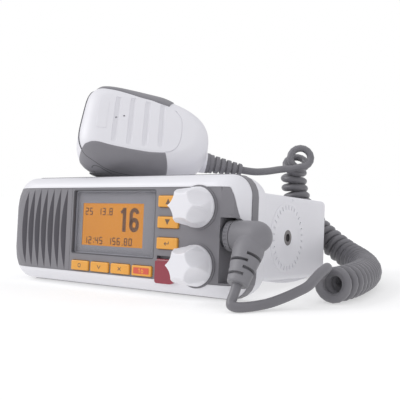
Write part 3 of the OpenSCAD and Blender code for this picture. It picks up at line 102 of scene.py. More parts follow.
# The cord: its sizes, how its curls lie, and its route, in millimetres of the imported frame
CORD_D, CURL_OD = 5.2, 19.6
AXIS_STEP, TURN_POINTS, BEND_REACH, BEND_SHARE = 0.5, 16, 9, 0.93
OPEN_START, OPEN_LENGTH, FIRST_ANGLE = 3.2, 22, 135
CURL_ROUTE = (
    (130, -29, 9.9), (131.5, -11, 9.9), (130.5, 10, 9.9), (126, 34, 9.9), (118, 56, 10.4),
    (108, 72, 12.4), (97, 81, 15.6), (86, 85.5, 21), (74.5, 86.8, 29), (64, 87, 39),
    (56, 86.8, 50), (51.8, 86.5, 62), (50.8, 86.2, 74), (53.2, 84.3, 80.8), (58.4, 80.3, 85.2),
    (64.5, 74, 86.4),
)
PLUG_LEAD = (
    (99, -72.892, 13.165), (99, -75.8, 8.86), (98.6, -77.8, 5.2), (99.6, -78.8, 3.4),
    (102.6, -77.2, 2.7), (106.5, -71.6, 2.7), (111.5, -63.6, 3.6), (116.5, -57, 5.8),
    (122, -52.6, 8.8), (126.8, -49.5, 11.9), (128.5, -45.6, 15), (130.2, -41.6, 18.2),
    (131, -37.4, 19.9), (130.3, -33.4, 20.1), (128, -30.4, 18.5),
)
MIC_LEAD = (
    (56.4, 71.5, 77.6), (52.6, 67.9, 77.3), (48.9, 64.3, 76.7), (45.2, 55.4, 75.4),
    (41, 46.6, 74.8), (36.57, 40.79, 75.43), (32.773, 37.367, 76.382),
)

# Camera and stage, in millimetres
CAMERA_AT, CAMERA_WAY, CAMERA_UP = (264.05, -339.70, 58.51), (-0.5759, 0.8175, -0.0085), (-0.005, 0.007, 1.0)
FLOOR_HALF, FLOOR_Z = 12000, -0.05
LAMPS = (
    ("key light", (-0.68, -0.5, 0.6), 35.0, 1.25),
    ("top light", (0.35, 0.1, 0.9), 80.0, 0.5),
    ("right light", (0.9, -0.35, 0.3), 60.0, 0.2),
)


# ---------------------------------------------------------------- places and meshes


def turn(degrees, axis):
    return np.array(Matrix.Rotation(math.radians(degrees), 4, axis))


def move(x, y, z):
    return np.array(Matrix.Translation((x, y, z)))


FLOOR_FRAME = np.eye(4)
RADIO = move(0, SHIFT, LIFT) @ turn(-TILT, "X")
MIC = move(*MIC_PLACE) @ turn(MIC_YAW, "Z") @ turn(MIC_PITCH, "Y") @ turn(-MIC_LEAN, "X")


def mesh_object(name, points, faces, to=RADIO, smooth=35.0):
    """A closed mesh from points in millimetres of the frame given, shaded smooth up to an angle."""
    points = np.asarray(points, float) @ to[:3, :3].T + to[:3, 3]
    mesh = bpy.data.meshes.new(name)
    mesh.from_pydata((points * MM).tolist(), [], [tuple(int(i) for i in f) for f in faces])
    work = bmesh.new()
    work.from_mesh(mesh)
    bmesh.ops.recalc_face_normals(work, faces=work.faces)
    work.to_mesh(mesh)
    work.free()
    obj = bpy.data.objects.new(name, mesh)
    bpy.context.scene.collection.objects.link(obj)
    shade(obj, smooth)
    return obj


def shade(obj, angle):
    obj.data.polygons.foreach_set("use_smooth", [True] * len(obj.data.polygons))
    obj.data.set_sharp_from_angle(angle=math.radians(angle))
    obj.data.update()


def loft(rings):
    """Points and faces of a tube through rings of equal count, with a cap on either end."""
    n, m = len(rings[0]), len(rings)
    points = np.concatenate([np.asarray(r, float) for r in rings])
    faces = []
    for j in range(m - 1):
        for i in range(n):
            k = (i + 1) % n
            faces.append((j * n + i, j * n + k, (j + 1) * n + k, (j + 1) * n + i))
    faces.append(tuple(range(n)))
    faces.append(tuple(range((m - 1) * n, m * n)))
    return points, faces


def lofted(name, rings, to=RADIO, smooth=35.0):
    """The mesh through rings of equal count."""
    return mesh_object(name, *loft(rings), to=to, smooth=smooth)


def grid(rows):
    """Points and faces of a sheet through rows of equal count."""
    m, n = len(rows), len(rows[0])
    points = np.concatenate([np.asarray(r, float) for r in rows])
    faces = [
        (j * n + i, j * n + i + 1, (j + 1) * n + i + 1, (j + 1) * n + i)
        for j in range(m - 1)
        for i in range(n - 1)
    ]
    return points, faces


def round_outline(x0, x1, z0, z1, left, right, steps=14):
    """Corner-rounded rectangle in X and Z, with one radius on either side."""
    points = []
    for cx, cz, r, start in (
        (x1 - right, z1 - right, right, 0),
        (x0 + left, z1 - left, left, 90),
        (x0 + left, z0 + left, left, 180),
        (x1 - right, z0 + right, right, 270),
    ):
        for i in range(steps + 1):
            a = math.radians(start + 90 * i / steps)
            points.append((cx + r * math.cos(a), cz + r * math.sin(a)))
    return points


def ring_at(points, y):
    return [(x, y, z) for x, z in points]


def block(name, low, high, to=RADIO):
    x0, y0, z0 = low
    x1, y1, z1 = high
    rings = [ring_at([(x0, z0), (x1, z0), (x1, z1), (x0, z1)], y) for y in (y0, y1)]
    return lofted(name, rings, to=to)


def lathe(name, profile, to, steps=64, smooth=35.0):
    """A turned piece about +Z of the frame given, from its profile of radius and height."""
    rings = []
    for r, z in profile:
        r = max(r, 0.001)
        rings.append([
            (r * math.cos(2 * math.pi * i / steps), r * math.sin(2 * math.pi * i / steps), z)
            for i in range(steps)
        ])
    return lofted(name, rings, to=to, smooth=smooth)


def rod(name, at, way, radius, length, to=RADIO, steps=48):
    """A round bar from a point along a direction."""
    z = Vector(way).normalized()
    q = z.to_track_quat("Z", "Y").to_matrix().to_4x4()
    return lathe(name, [(radius, 0), (radius, length)], to @ move(*at) @ np.array(q), steps)


def keep_result(obj, smooth=35.0):
    """Turns what the object's modifiers make into its own mesh."""
    bpy.context.view_layer.update()
    graph = bpy.context.evaluated_depsgraph_get()
    mesh = bpy.data.meshes.new_from_object(obj.evaluated_get(graph))
    old = obj.data
    obj.modifiers.clear()
    obj.data = mesh
    bpy.data.meshes.remove(old)
    mesh.name = obj.name
    shade(obj, smooth)
    return obj


def carve(obj, *tools, how="DIFFERENCE", smooth=35.0):
    """Cuts the tools from the object, joins them to it or keeps what they share, and removes them."""
    for tool in tools:
        m = obj.modifiers.new(how, "BOOLEAN")
        m.operation, m.solver, m.object = how, "EXACT", tool
    keep_result(obj, smooth)
    for tool in tools:
        bpy.data.meshes.remove(tool.data)
    return obj


def joined(name, objects):
    """One object that holds the meshes of several."""
    work = bmesh.new()
    for o in objects:
        work.from_mesh(o.data)
    mesh = bpy.data.meshes.new(name)
    work.to_mesh(mesh)
    work.free()
    for o in objects:
        bpy.data.meshes.remove(o.data)
    obj = bpy.data.objects.new(name, mesh)
    bpy.context.scene.collection.objects.link(obj)
    return obj


def moulded(obj, voxel, rounds):
    """Rounds every edge of a closed mesh as a mould does: remeshed finely, then relaxed."""
    m = obj.modifiers.new("fine", "REMESH")
    m.mode, m.voxel_size = "VOXEL", voxel * MM
    s = obj.modifiers.new("relax", "SMOOTH")
    s.iterations, s.factor = rounds, 0.5
    keep_result(obj, 60)
    work = bmesh.new()
    work.from_mesh(obj.data)
    left, islands = set(work.verts), []
    while left:
        island, edge = set(), [left.pop()]
        while edge:
            v = edge.pop()
            island.add(v)
            for link in v.link_edges:
                other = link.other_vert(v)
                if other in left:
                    left.remove(other)
                    edge.append(other)
        islands.append(island)
    islands.sort(key=len)
    for island in islands[:-1]:
        bmesh.ops.delete(work, geom=list(island), context="VERTS")
    work.to_mesh(obj.data)
    work.free()
    shade(obj, 60)
    return obj


def soft_edges(obj, width, angle=35.0, segments=2):
    m = obj.modifiers.new("soft edges", "BEVEL")
    m.width, m.segments, m.limit_method = width * MM, segments, "ANGLE"
    m.angle_limit = math.radians(angle)
    m.harden_normals = True
    return obj


def dress(obj, finish, body=BODY, nodes=()):
    """Gives a piece its finish and its body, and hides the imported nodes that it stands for."""
    obj.data.materials.clear()
    obj.data.materials.append(finish_of(finish))
    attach(obj, body)
    if nodes:
        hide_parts(*nodes)
    return obj


# ---------------------------------------------------------------- materials


def shader(name):
    material = bpy.data.materials.new(name)
    material.use_nodes = True
    tree = material.node_tree
    return material, tree, tree.nodes["Principled BSDF"]


def place_of(tree, node):
    where = tree.nodes.new("ShaderNodeTexCoord")
    tree.links.new(where.outputs["Object"], node.inputs["Vector"])


def noise(tree, scale, detail=3.0, rough=0.55):
    n = tree.nodes.new("ShaderNodeTexNoise")
    n.inputs["Scale"].default_value = scale
    n.inputs["Detail"].default_value = detail
    n.inputs["Roughness"].default_value = rough
    place_of(tree, n)
    return n


def tint(colour, share):
    return tuple(min(1.0, c * share) for c in colour[:3]) + (1.0,)


def ramp(tree, fac, stops):
    r = tree.nodes.new("ShaderNodeValToRGB")
    tree.links.new(fac, r.inputs["Fac"])
    r.color_ramp.elements[0].position, r.color_ramp.elements[0].color = stops[0]
    r.color_ramp.elements[1].position, r.color_ramp.elements[1].color = stops[-1]
    for position, colour in stops[1:-1]:
        r.color_ramp.elements.new(position).color = colour
    return r.outputs["Color"]


def follow_gloss(tree, texture, low, high):
    """Roughness that follows a texture between two values."""
    gloss = tree.nodes.new("ShaderNodeMapRange")
    gloss.inputs["To Min"].default_value = low
    gloss.inputs["To Max"].default_value = high
    tree.links.new(texture.outputs["Fac"], gloss.inputs["Value"])
    tree.links.new(gloss.outputs["Result"], tree.nodes["Principled BSDF"].inputs["Roughness"])


def follow_bump(tree, texture, strength, depth):
    """Relief that follows a texture, to a depth in metres."""
    bump = tree.nodes.new("ShaderNodeBump")
    bump.inputs["Strength"].default_value = strength
    bump.inputs["Distance"].default_value = depth
    tree.links.new(texture.outputs["Fac"], bump.inputs["Height"])
    tree.links.new(bump.outputs["Normal"], tree.nodes["Principled BSDF"].inputs["Normal"])


def product(tree, first, second):
    """Colour of two colours multiplied."""
    mix = tree.nodes.new("ShaderNodeMixRGB")
    mix.blend_type = "MULTIPLY"
    mix.inputs["Fac"].default_value = 1.0
    tree.links.new(first, mix.inputs["Color1"])
    tree.links.new(second, mix.inputs["Color2"])
    return mix.outputs["Color"]


def moulded_plastic(name, colour, rough, grain, depth, spread=0.05, coat=0.0):
    """Moulded plastic: a spark-eroded grain, a faint drift of colour, and handling marks in its gloss."""
    material, tree, face = shader(name)
    colours = ramp(tree, noise(tree, 38.0, 4.0).outputs["Fac"], [
        (0.3, tint(colour, 1 - spread)), (0.7, tint(colour, 1 + spread))])
    tree.links.new(colours, face.inputs["Base Color"])
    follow_gloss(tree, noise(tree, 160.0, 5.0, 0.6), rough - 0.06, rough + 0.08)
    follow_bump(tree, noise(tree, grain, 2.0, 0.5), 0.55, depth)
    face.inputs["Coat Weight"].default_value = coat
    face.inputs["Coat Roughness"].default_value = 0.25
    return material


def louvred_plastic_painted_shade(name, colour):
    """Fascia plastic with painted shade: its colour is darker on the louvres' slopes, which face to the
    right.
    """
    material = moulded_plastic(name, colour, 0.46, 2300.0, 0.00005, 0.03)
    tree = material.node_tree
    face = tree.nodes["Principled BSDF"]
    where = tree.nodes.new("ShaderNodeTexCoord")
    across = tree.nodes.new("ShaderNodeSeparateXYZ")
    tree.links.new(where.outputs["Normal"], across.inputs["Vector"])
    # painted shade: the colour darkens where the surface faces right, as if the light came only from the left
    shadow = ramp(tree, across.outputs["X"], [(0.2, (1, 1, 1, 1)), (0.42, (0.42, 0.41, 0.44, 1))])
    plain = face.inputs["Base Color"].links[0].from_socket
    tree.links.new(product(tree, plain, shadow), face.inputs["Base Color"])
    return material


def rubber(name, colour, rough=0.62):
    """Soft moulded rubber with a fine grain and a little dust in its colour."""
    material = moulded_plastic(name, colour, rough, 1500.0, 0.00006, 0.07)
    face = material.node_tree.nodes["Principled BSDF"]
    face.inputs["Sheen Weight"].default_value = 0.12
    face.inputs["Sheen Roughness"].default_value = 0.5
    return material


def metal(name, colour, rough, wear=240.0):
    """Bare or plated metal with a fine grain and wear in its gloss."""
    material, tree, face = shader(name)
    face.inputs["Metallic"].default_value = 1.0
    face.inputs["Base Color"].default_value = tint(colour, 1)
    follow_gloss(tree, noise(tree, wear, 4.0), rough, rough + 0.18)
    follow_bump(tree, noise(tree, 1800.0), 0.3, 0.00003)
    return material


def silicone_key(name, colour):
    """Translucent key cap, lit a little from behind."""
    material = moulded_plastic(name, colour, 0.38, 1400.0, 0.00003, 0.05, 0.15)
    face = material.node_tree.nodes["Principled BSDF"]
    face.inputs["Subsurface Weight"].default_value = 0.15
    face.inputs["Subsurface Radius"].default_value = (0.002, 0.001, 0.0004)
    face.inputs["Emission Color"].default_value = tint(colour, 0.9)
    face.inputs["Emission Strength"].default_value = 0.10
    return material


def lit_display(name, colour):
    """Backlit liquid-crystal face: a faint pixel grid and a slow drift of its glow."""
    material, tree, face = shader(name)
    where = tree.nodes.new("ShaderNodeTexCoord")
    cells = tree.nodes.new("ShaderNodeTexChecker")
    cells.inputs["Scale"].default_value = 1600.0
    cells.inputs["Color1"].default_value = tint(colour, 0.96)
    cells.inputs["Color2"].default_value = tint(colour, 1.03)
    tree.links.new(where.outputs["Object"], cells.inputs["Vector"])
    drift = ramp(tree, noise(tree, 30.0, 2.0).outputs["Fac"], [
        (0.3, (0.92, 0.90, 0.86, 1)), (0.7, (1, 1, 1, 1))])
    glow = product(tree, cells.outputs["Color"], drift)
    tree.links.new(glow, face.inputs["Base Color"])
    tree.links.new(glow, face.inputs["Emission Color"])
    face.inputs["Emission Strength"].default_value = 0.28
    face.inputs["Roughness"].default_value = 0.5
    return material


def window_plastic(name, colour):
    """Clear plastic that hides nothing behind it."""
    material, tree, face = shader(name)
    face.inputs["Base Color"].default_value = tint(colour, 1)
    face.inputs["Alpha"].default_value = 0.06
    face.inputs["IOR"].default_value = 1.49
    face.inputs["Specular IOR Level"].default_value = 0.2
    follow_gloss(tree, noise(tree, 60.0, 5.0), 0.05, 0.12)
    return material


# Each finish's maker, name and colour, which a word picks in the panel, and the maker's other values
FINISHES = {
    "white": (moulded_plastic, "white case plastic", "white", 0.42, 1700.0, 0.00003, 0.012),
    "knob": (moulded_plastic, "white knob plastic", "white", 0.38, 1700.0, 0.00002, 0.012),
    "grey": (moulded_plastic, "grey fascia plastic", "grey", 0.46, 2300.0, 0.00005, 0.03),
    "grille": (louvred_plastic_painted_shade, "grey grille plastic", "grey"),
    "mask": (moulded_plastic, "display surround", "mask", 0.5, 2300.0, 0.00002, 0.02),
    # painted highlight: the window rim is the surround's colour made lighter, a bright edge painted on
    "rim": (moulded_plastic, "window rim", "mask", 0.2, 2300.0, 0.00001, 0.02, 0.4),
    "gasket": (rubber, "case gasket rubber", "rubber"),
    "grip": (rubber, "grip rubber", "grip", 0.5),
    # painted shade: the push-to-talk bar is the grips' rubber made darker
    "bar": (rubber, "push-to-talk rubber", "grip", 0.45),
    "boot": (rubber, "strain relief rubber", "rubber", 0.55),
    "cord": (rubber, "cord jacket", "cord", 0.42),
    "plug": (rubber, "plug rubber", "plug", 0.5),
    "dark": (moulded_plastic, "dark plastic", "dark", 0.5, 1800.0, 0.00003, 0.05),
    "key": (silicone_key, "orange key cap", "key"),
    "print": (moulded_plastic, "key print", (0.16, 0.10, 0.07), 0.5, 1500.0, 0.00001, 0.05),
    "patch": (moulded_plastic, "red key print", (0.62, 0.10, 0.06), 0.45, 1500.0, 0.00001, 0.04),
    "red": (moulded_plastic, "distress red plastic", "red", 0.3, 1500.0, 0.00002, 0.05, 0.25),
    "display": (lit_display, "lit display", "display"),
    "digits": (moulded_plastic, "display segments", (0.13, 0.048, 0.012), 0.5, 900.0, 0.00001, 0.06),
    "window": (window_plastic, "display window plastic", (0.35, 0.35, 0.37)),
    "steel": (metal, "plated steel", (0.62, 0.62, 0.64), 0.28),
    "nickel": (metal, "nickel plating", (0.72, 0.70, 0.66), 0.2),
    "worn": (metal, "darkened steel", (0.22, 0.21, 0.21), 0.3),
    "brass": (metal, "turned brass", (0.62, 0.50, 0.30), 0.25),
    "aluminium": (metal, "black anodised aluminium", (0.09, 0.09, 0.10), 0.42, 90.0),
    "board": (moulded_plastic, "green solder resist", (0.02, 0.16, 0.07), 0.35, 700.0, 0.00004, 0.1),
    "ivory": (moulded_plastic, "socket insulator", (0.72, 0.69, 0.60), 0.4, 900.0, 0.00002, 0.03),
    "line": (moulded_plastic, "shadow line", (0.10, 0.10, 0.11), 0.7, 900.0, 0.00001, 0.05),
}
# painted light: the window rim is made lighter as a painted highlight, the push-to-talk bar darker as painted
# shade
PAINTED_LIGHT_SHARES = {"rim": 1.5, "bar": 0.6}
MATERIALS = {}


def finish_of(key):
    """The named finish, made once from the colours in the panel, lighter or darker where the table of shares
    says so: a painted highlight on the window rim and painted shade on the push-to-talk bar.
    """
    if key not in MATERIALS:
        maker, name, tone, *rest = FINISHES[key]
        if isinstance(tone, str):
            tone = getattr(bpy.context.scene.radio_colours, tone)
        MATERIALS[key] = maker(name, tint(tone, PAINTED_LIGHT_SHARES.get(key, 1)), *rest)
    return MATERIALS[key]


# ---------------------------------------------------------------- settings


def colour(name, text, value):
    return bpy.props.FloatVectorProperty(
        name=name, description=text, default=value, size=3, min=0.0, max=1.0, subtype="COLOR")


class RadioColours(bpy.types.PropertyGroup):
    white: colour("White", "Case, knobs and microphone", (0.76, 0.755, 0.79))
    grey: colour("Grey", "Grille and control panel", (0.205, 0.199, 0.216))
    mask: colour("Surround", "Surround of the display", (0.25, 0.247, 0.272))
    rubber: colour("Rubber", "Gasket and strain reliefs", (0.19, 0.185, 0.20))
    grip: colour("Grips", "Grips of the microphone", (0.215, 0.21, 0.228))
    plug: colour("Plug", "Microphone plug", (0.20, 0.196, 0.212))
    cord: colour("Cord", "Jacket of the curly cord", (0.165, 0.161, 0.175))
    dark: colour("Dark", "Pieces behind the panel", (0.03, 0.03, 0.035))
    key: colour("Keys", "Orange key caps", (0.70, 0.33, 0.05))
    display: colour("Display", "Lit display", (0.57, 0.212, 0.0))
    red: colour("Distress", "Distress key and its cover", (0.27, 0.035, 0.055))


class RadioSizes(bpy.types.PropertyGroup):
    lens: bpy.props.FloatProperty(
        name="Lens", description="Focal length on a 36 mm sensor", default=55.96, min=20, max=200,
        unit="CAMERA")
    light: bpy.props.FloatProperty(
        name="Light", description="Share of the studio light", default=1.0, min=0.1, max=4)
    curl_gap: bpy.props.FloatProperty(
        name="Curl gap", description="Space between two curls of the cord", default=0.25 * MM,
        min=0.1 * MM, max=3 * MM, subtype="DISTANCE", unit="LENGTH")
    lobes: bpy.props.IntProperty(
        name="Lobes", description="Lobes round a knob", default=6, min=4, max=10)
    notches: bpy.props.IntProperty(
        name="Notches", description="Bracket notches on either side of the case", default=30, min=8, max=60)
    grooves: bpy.props.IntProperty(
        name="Grooves", description="Grooves in the microphone's face", default=4, min=1, max=4)
    key_edge: bpy.props.FloatProperty(
        name="Key edge", description="Rounding of a key's upper edge", default=0.5 * MM,
        min=0.1 * MM, max=1 * MM, subtype="DISTANCE", unit="LENGTH")


# ---------------------------------------------------------------- camera and stage


class RADIO_OT_stage(bpy.types.Operator):
    """Camera, pale floor and soft studio lights"""

    bl_idname = "radio.stage"
    bl_label = "Camera and stage"

    def execute(self, context):
        scene = context.scene
        sizes = scene.radio_sizes
        scene.view_settings.view_transform = "Standard"
        data = bpy.data.cameras.new("camera")
        data.lens, data.sensor_width = sizes.lens, 36.0
        data.clip_start, data.clip_end = 0.01, 20
        camera = bpy.data.objects.new("camera", data)
        scene.collection.objects.link(camera)
        camera.location = Vector(CAMERA_AT) * MM
        way = Vector(CAMERA_WAY).normalized()
        right = way.cross(Vector(CAMERA_UP)).normalized()
        up = right.cross(way)
        camera.rotation_mode = "QUATERNION"
        camera.rotation_quaternion = Matrix((right, up, -way)).transposed().to_quaternion()
        scene.camera = camera
        self.floor()
        self.lights(sizes.light)
        return {"FINISHED"}

    def floor(self):
        material, _, face = shader("pale floor")
        face.inputs["Base Color"].default_value = (0.55, 0.55, 0.55, 1)
        face.inputs["Emission Color"].default_value = (1, 1, 1, 1)
        face.inputs["Emission Strength"].default_value = 0.47
        face.inputs["Roughness"].default_value = 0.9
        face.inputs["Specular IOR Level"].default_value = 0.1
        corners = ((-1, -1), (1, -1), (1, 1), (-1, 1))
        points = [(x * FLOOR_HALF, y * FLOOR_HALF, FLOOR_Z) for x, y in corners]
        floor = mesh_object("floor", points, [(0, 1, 2, 3)], to=FLOOR_FRAME)
        floor.data.materials.append(material)

    def lights(self, share):
        """A bright tent: an even glow all round, a broad key from the left and a weaker lamp above."""
        world = bpy.data.worlds.new("studio")
        world.use_nodes = True
        tree = world.node_tree
        glow = tree.nodes["Background"]
        glow.inputs["Color"].default_value = (0.97, 0.97, 1.0, 1)
        glow.inputs["Strength"].default_value = 0.66 * share
        backdrop = tree.nodes.new("ShaderNodeBackground")
        backdrop.inputs["Color"].default_value = (1, 1, 1, 1)
        seen = tree.nodes.new("ShaderNodeLightPath")
        pick = tree.nodes.new("ShaderNodeMixShader")
        tree.links.new(seen.outputs["Is Camera Ray"], pick.inputs["Fac"])
        tree.links.new(glow.outputs["Background"], pick.inputs[1])
        tree.links.new(backdrop.outputs["Background"], pick.inputs[2])
        tree.links.new(pick.outputs["Shader"], tree.nodes["World Output"].inputs["Surface"])
        bpy.context.scene.world = world
        for name, place, spread, strength in LAMPS:
            data = bpy.data.lights.new(name, "SUN")
            data.angle, data.energy = math.radians(spread), strength * share
            lamp = bpy.data.objects.new(name, data)
            bpy.context.scene.collection.objects.link(lamp)
            lamp.location = place
            lamp.rotation_mode = "QUATERNION"
            lamp.rotation_quaternion = (-Vector(place)).to_track_quat("-Z", "Y")


# ---------------------------------------------------------------- cord


def bend(points, steps):
    """Smooth line through points, with so many steps between two of them."""
    p = np.asarray(points, float)
    line = []
    for i in range(len(p) - 1):
        a, b, c, d = p[max(i - 1, 0)], p[i], p[i + 1], p[min(i + 2, len(p) - 1)]
        for k in range(steps):
            u = k / steps
            line.append(0.5 * (2 * b + (c - a) * u + (2 * a - 5 * b + 4 * c - d) * u * u
                               + (3 * b - a - 3 * c + d) * u ** 3))
    line.append(p[-1])
    return np.array(line)


def unit(v):
    return v / np.linalg.norm(v)


def even(line, step):
    """The same line with points at an even spacing."""
    s = np.concatenate([[0], np.cumsum(np.linalg.norm(np.diff(line, axis=0), axis=1))])
    n = max(2, round(s[-1] / step) + 1)
    at = np.linspace(0, s[-1], n)
    return np.stack([np.interp(at, s, line[:, k]) for k in range(3)], 1)


def curls(gap):
    """The wire's centre line through all its curls, sixteen points to a curl, left-handed."""
    axis = even(bend(CURL_ROUTE, 24), AXIS_STEP)
    n = len(axis)
    way = np.array([unit(axis[min(i + 1, n - 1)] - axis[max(i - 1, 0)]) for i in range(n)])
    normal = [unit(np.array([1.0, 0, 0]) - way[0] * way[0][0])]
    for i in range(1, n):
        normal.append(unit(normal[-1] - way[i] * (normal[-1] @ way[i])))
    r = (CURL_OD - CORD_D) / 2
    ends = [(max(i - BEND_REACH, 0), min(i + BEND_REACH, n - 1)) for i in range(n)]
    turning = np.array([np.linalg.norm(way[j] - way[i]) / (AXIS_STEP * (j - i)) for i, j in ends])
    opening = OPEN_START * np.clip(1 - np.arange(n) * AXIS_STEP / OPEN_LENGTH, 0, 1)
    # curls lie closest on the inside of a bend, so they spread there along the axis
    pitch = (CORD_D + gap + opening) / (1 - BEND_SHARE * r * turning)
    phase = np.concatenate([[0], np.cumsum(AXIS_STEP / pitch[:-1])])
    at = np.arange(math.floor(phase[-1] * TURN_POINTS) + 1) / TURN_POINTS
    out = []
    for turns, f in zip(at, np.interp(at, phase, np.arange(n))):
        i = min(int(f), n - 2)
        u = f - i
        c = axis[i] * (1 - u) + axis[i + 1] * u
        t = unit(way[i] * (1 - u) + way[i + 1] * u)
        v = unit(normal[i] * (1 - u) + normal[i + 1] * u)
        a = math.radians(FIRST_ANGLE) + 2 * math.pi * turns
        out.append(c + r * (math.cos(a) * v + math.sin(a) * np.cross(v, t)))
    # the last curl ends at the lowest point of its loop, where the lead leaves it
    out = np.array(out)
    lowest = len(out) - TURN_POINTS + int(np.argmin(out[-TURN_POINTS:, 2]))
    return out[: lowest + 1]


class RADIO_OT_cord(bpy.types.Operator):
    """Curly cord from the microphone to its plug, in one piece"""

    bl_idname = "radio.cord"
    bl_label = "Curly cord"

    def execute(self, context):
        gap = context.scene.radio_sizes.curl_gap / MM
        wire = curls(gap)
        head = np.concatenate([np.array(PLUG_LEAD, float), wire[:3]])
        tail = np.concatenate([wire[-3:], np.array(MIC_LEAD, float)])
        head = bend(head, 8)[: -2 * 8]
        tail = bend(tail, 8)[2 * 8:]
        line = np.concatenate([head, wire[1:-1], tail])
        line = line[::-1] * MM
        data = bpy.data.curves.new("curly_cord", "CURVE")
        data.dimensions = "3D"
        data.bevel_depth, data.bevel_resolution, data.use_fill_caps = CORD_D / 2 * MM, 5, True
        spline = data.splines.new("POLY")
        spline.points.add(len(line) - 1)
        spline.points.foreach_set("co", np.c_[line, np.ones(len(line))].ravel())
        spline.use_smooth = True
        cord = bpy.data.objects.new("curly_cord", data)
        context.scene.collection.objects.link(cord)
        dress(cord, "cord", nodes=("cord_plug_lead", "cord_curls", "cord_mic_lead"))
        tuple(line[0])
        return {"FINISHED"}


# ---------------------------------------------------------------- case


def bezel_rings(wall, steps=18):
    rings = []
    edge = PROUD + wall
    for i in range(steps + 1):
        a = math.radians(90 * i / steps)
        k = 1 - math.cos(a)
        y = BEZEL_D * (1 - math.sin(a)) + wall
        rings.append(ring_at(round_outline(
            -CASE_W / 2 + edge + DRAW_LEFT * k, CASE_W / 2 - edge - DRAW_RIGHT * k,
            edge + DRAW * k, CASE_H - edge - DRAW * k,
            CASE_CORNER - edge + 9 * k, CASE_CORNER - edge - k), y))
    return rings


class RADIO_OT_bezel(bpy.types.Operator):
    """White bezel with its rounded rim and its opening for grille, panel and plug"""

    bl_idname = "radio.bezel"
    bl_label = "Front bezel"

    def execute(self, context):
        bezel = lofted("bezel", bezel_rings(0))
        inner = lofted("inner", bezel_rings(BEZEL_WALL))
        carve(bezel, inner)
        front = block("front", (-150, -5, OPEN_LOW), (CREASE, GRILLE_WRAP, OPEN_HIGH))
        carve(bezel, front, self.side_opening())
        soft_edges(bezel, 0.35)
        dress(bezel, "white", nodes=("front_bezel",))
        return {"FINISHED"}

    def side_opening(self):
        """The opening in the bezel's side: a widening strip, the cut round the plug and the recess."""
        r = PLUG_D / 2 + NOTCH_GAP
        drop = FLARE_HIGH - NOTCH_HIGH
        line = [(-30, OPEN_LOW), (-30, OPEN_HIGH), (FOLD, OPEN_HIGH)]
        line += [(FOLD + FLARE_W * (i / 12) ** 1.6, FLARE_HIGH - drop * i / 12) for i in range(13)]
        line += arc(PLUG_Y, PLUG_Z, r, r, 78, 0, 16)
        line += [(BEZEL_D + 0.01, PLUG_Z - 2), (BEZEL_D + 0.01, OPEN_LOW)]
        return lofted("side", [[(x, y, z) for y, z in line] for x in (CREASE - LINER, 150)])


class RADIO_OT_housing(bpy.types.Operator):
    """White housing with its rounded flange, belly, bracket rings and inserts' bosses"""

    bl_idname = "radio.housing"
    bl_label = "Housing"

    def execute(self, context):
        back = GASKET_BACK + HOUSING_D
        top = HOUSING_BASE + HOUSING_H
        half = HOUSING_W / 2
        rings = []
        for share in (0.0, 0.12, 0.3, 0.55, 0.8, 1.0):
            inset = REAR_ROUND * (1 - math.sqrt(1 - (1 - share) ** 2))
            rings.append(ring_at(round_outline(
                -half + inset, half - inset, HOUSING_BASE + inset, top - inset, 3, 3),
                back - REAR_ROUND * 1.2 * share))
        for i in range(14, -1, -1):
            a = math.radians(90 * i / 14)
            k = math.cos(a)
            grow = CASE_W / 2 - PROUD - half
            r = 3 + (CASE_CORNER - 4) * k
            rings.append(ring_at(round_outline(
                -half - grow * k, half + grow * k, HOUSING_BASE - (HOUSING_BASE - PROUD) * k,
                top + (CASE_H - PROUD - top) * k, r, r), GASKET_BACK + FLANGE_D * math.sin(a)))
        shell = lofted("housing_shell", rings)
        self.add_belly(shell)
        for side in (1, -1):
            self.add_ring(shell, side, context.scene.radio_sizes.notches)
        hollow = ring_at(round_outline(
            -half + HOUSING_WALL, half - HOUSING_WALL, HOUSING_BASE + HOUSING_WALL, top - HOUSING_WALL,
            1.5, 1.5, 3), GASKET_BACK - 1)
        carve(shell, lofted("hollow", [hollow, [(x, back + 1, z) for x, _, z in hollow]]))
        shade(shell, 30)
        soft_edges(shell, 0.25, 40)
        dress(shell, "white", nodes=("housing",))
        return {"FINISHED"}

    def add_belly(self, shell):
        chord, drop, y = 56, 2.2, 75
        r = ((chord / 2) ** 2 + drop ** 2) / (2 * drop)
        rings = []
        for x in (-HOUSING_W / 2 + 3, HOUSING_W / 2 - 3):
            ring = []
            for i in range(33):
                u = -chord / 2 + chord * i / 32
                ring.append((x, y + u, HOUSING_BASE - drop + r - math.sqrt(r * r - u * u)))
            ring += [(x, y + chord / 2, HOUSING_BASE + 1), (x, y - chord / 2, HOUSING_BASE + 1)]
            rings.append(ring)
        carve(shell, lofted("belly", rings), how="UNION")

    def add_ring(self, shell, side, count):
        """The bracket's seat: a low disc with a dished middle, ringed with notches."""
        half = HOUSING_W / 2
        to = RADIO @ move(side * half, INSERT_Y, INSERT_Z) @ turn(90 * side, "Y")
        seat = lathe("seat", [
            (21.6, -1), (21.6, 0.25), (21.0, 0.55), (20.4, 0.6), (16.2, 0.6), (15.4, 0.45), (13.6, 0.15),
            (9, 0.1), (INSERT_D / 2 + 1.2, 0.35), (INSERT_D / 2 + 0.4, 0.5), (INSERT_D / 2, 0.5),
            (INSERT_D / 2, -1)], to, 96)
        carve(shell, seat, how="UNION")
        notches = [
            block("n", (17.3, -0.5, 0.1), (20.0, 0.5, 2), to=to @ turn(360 * i / count, "Z"))
            for i in range(count)]
        hole = rod("hole", (0, 0, -12), (0, 0, 1), INSERT_D / 2, 20, to=to)
        rearward = to @ turn(-90 if side > 0 else 90, "Z") @ turn(180, "Z")
        slot = block("slot", (-7, INSERT_D * 2.4, -0.5), (7, 51, 2), to=rearward)
        carve(shell, joined("notches", notches), hole, slot)


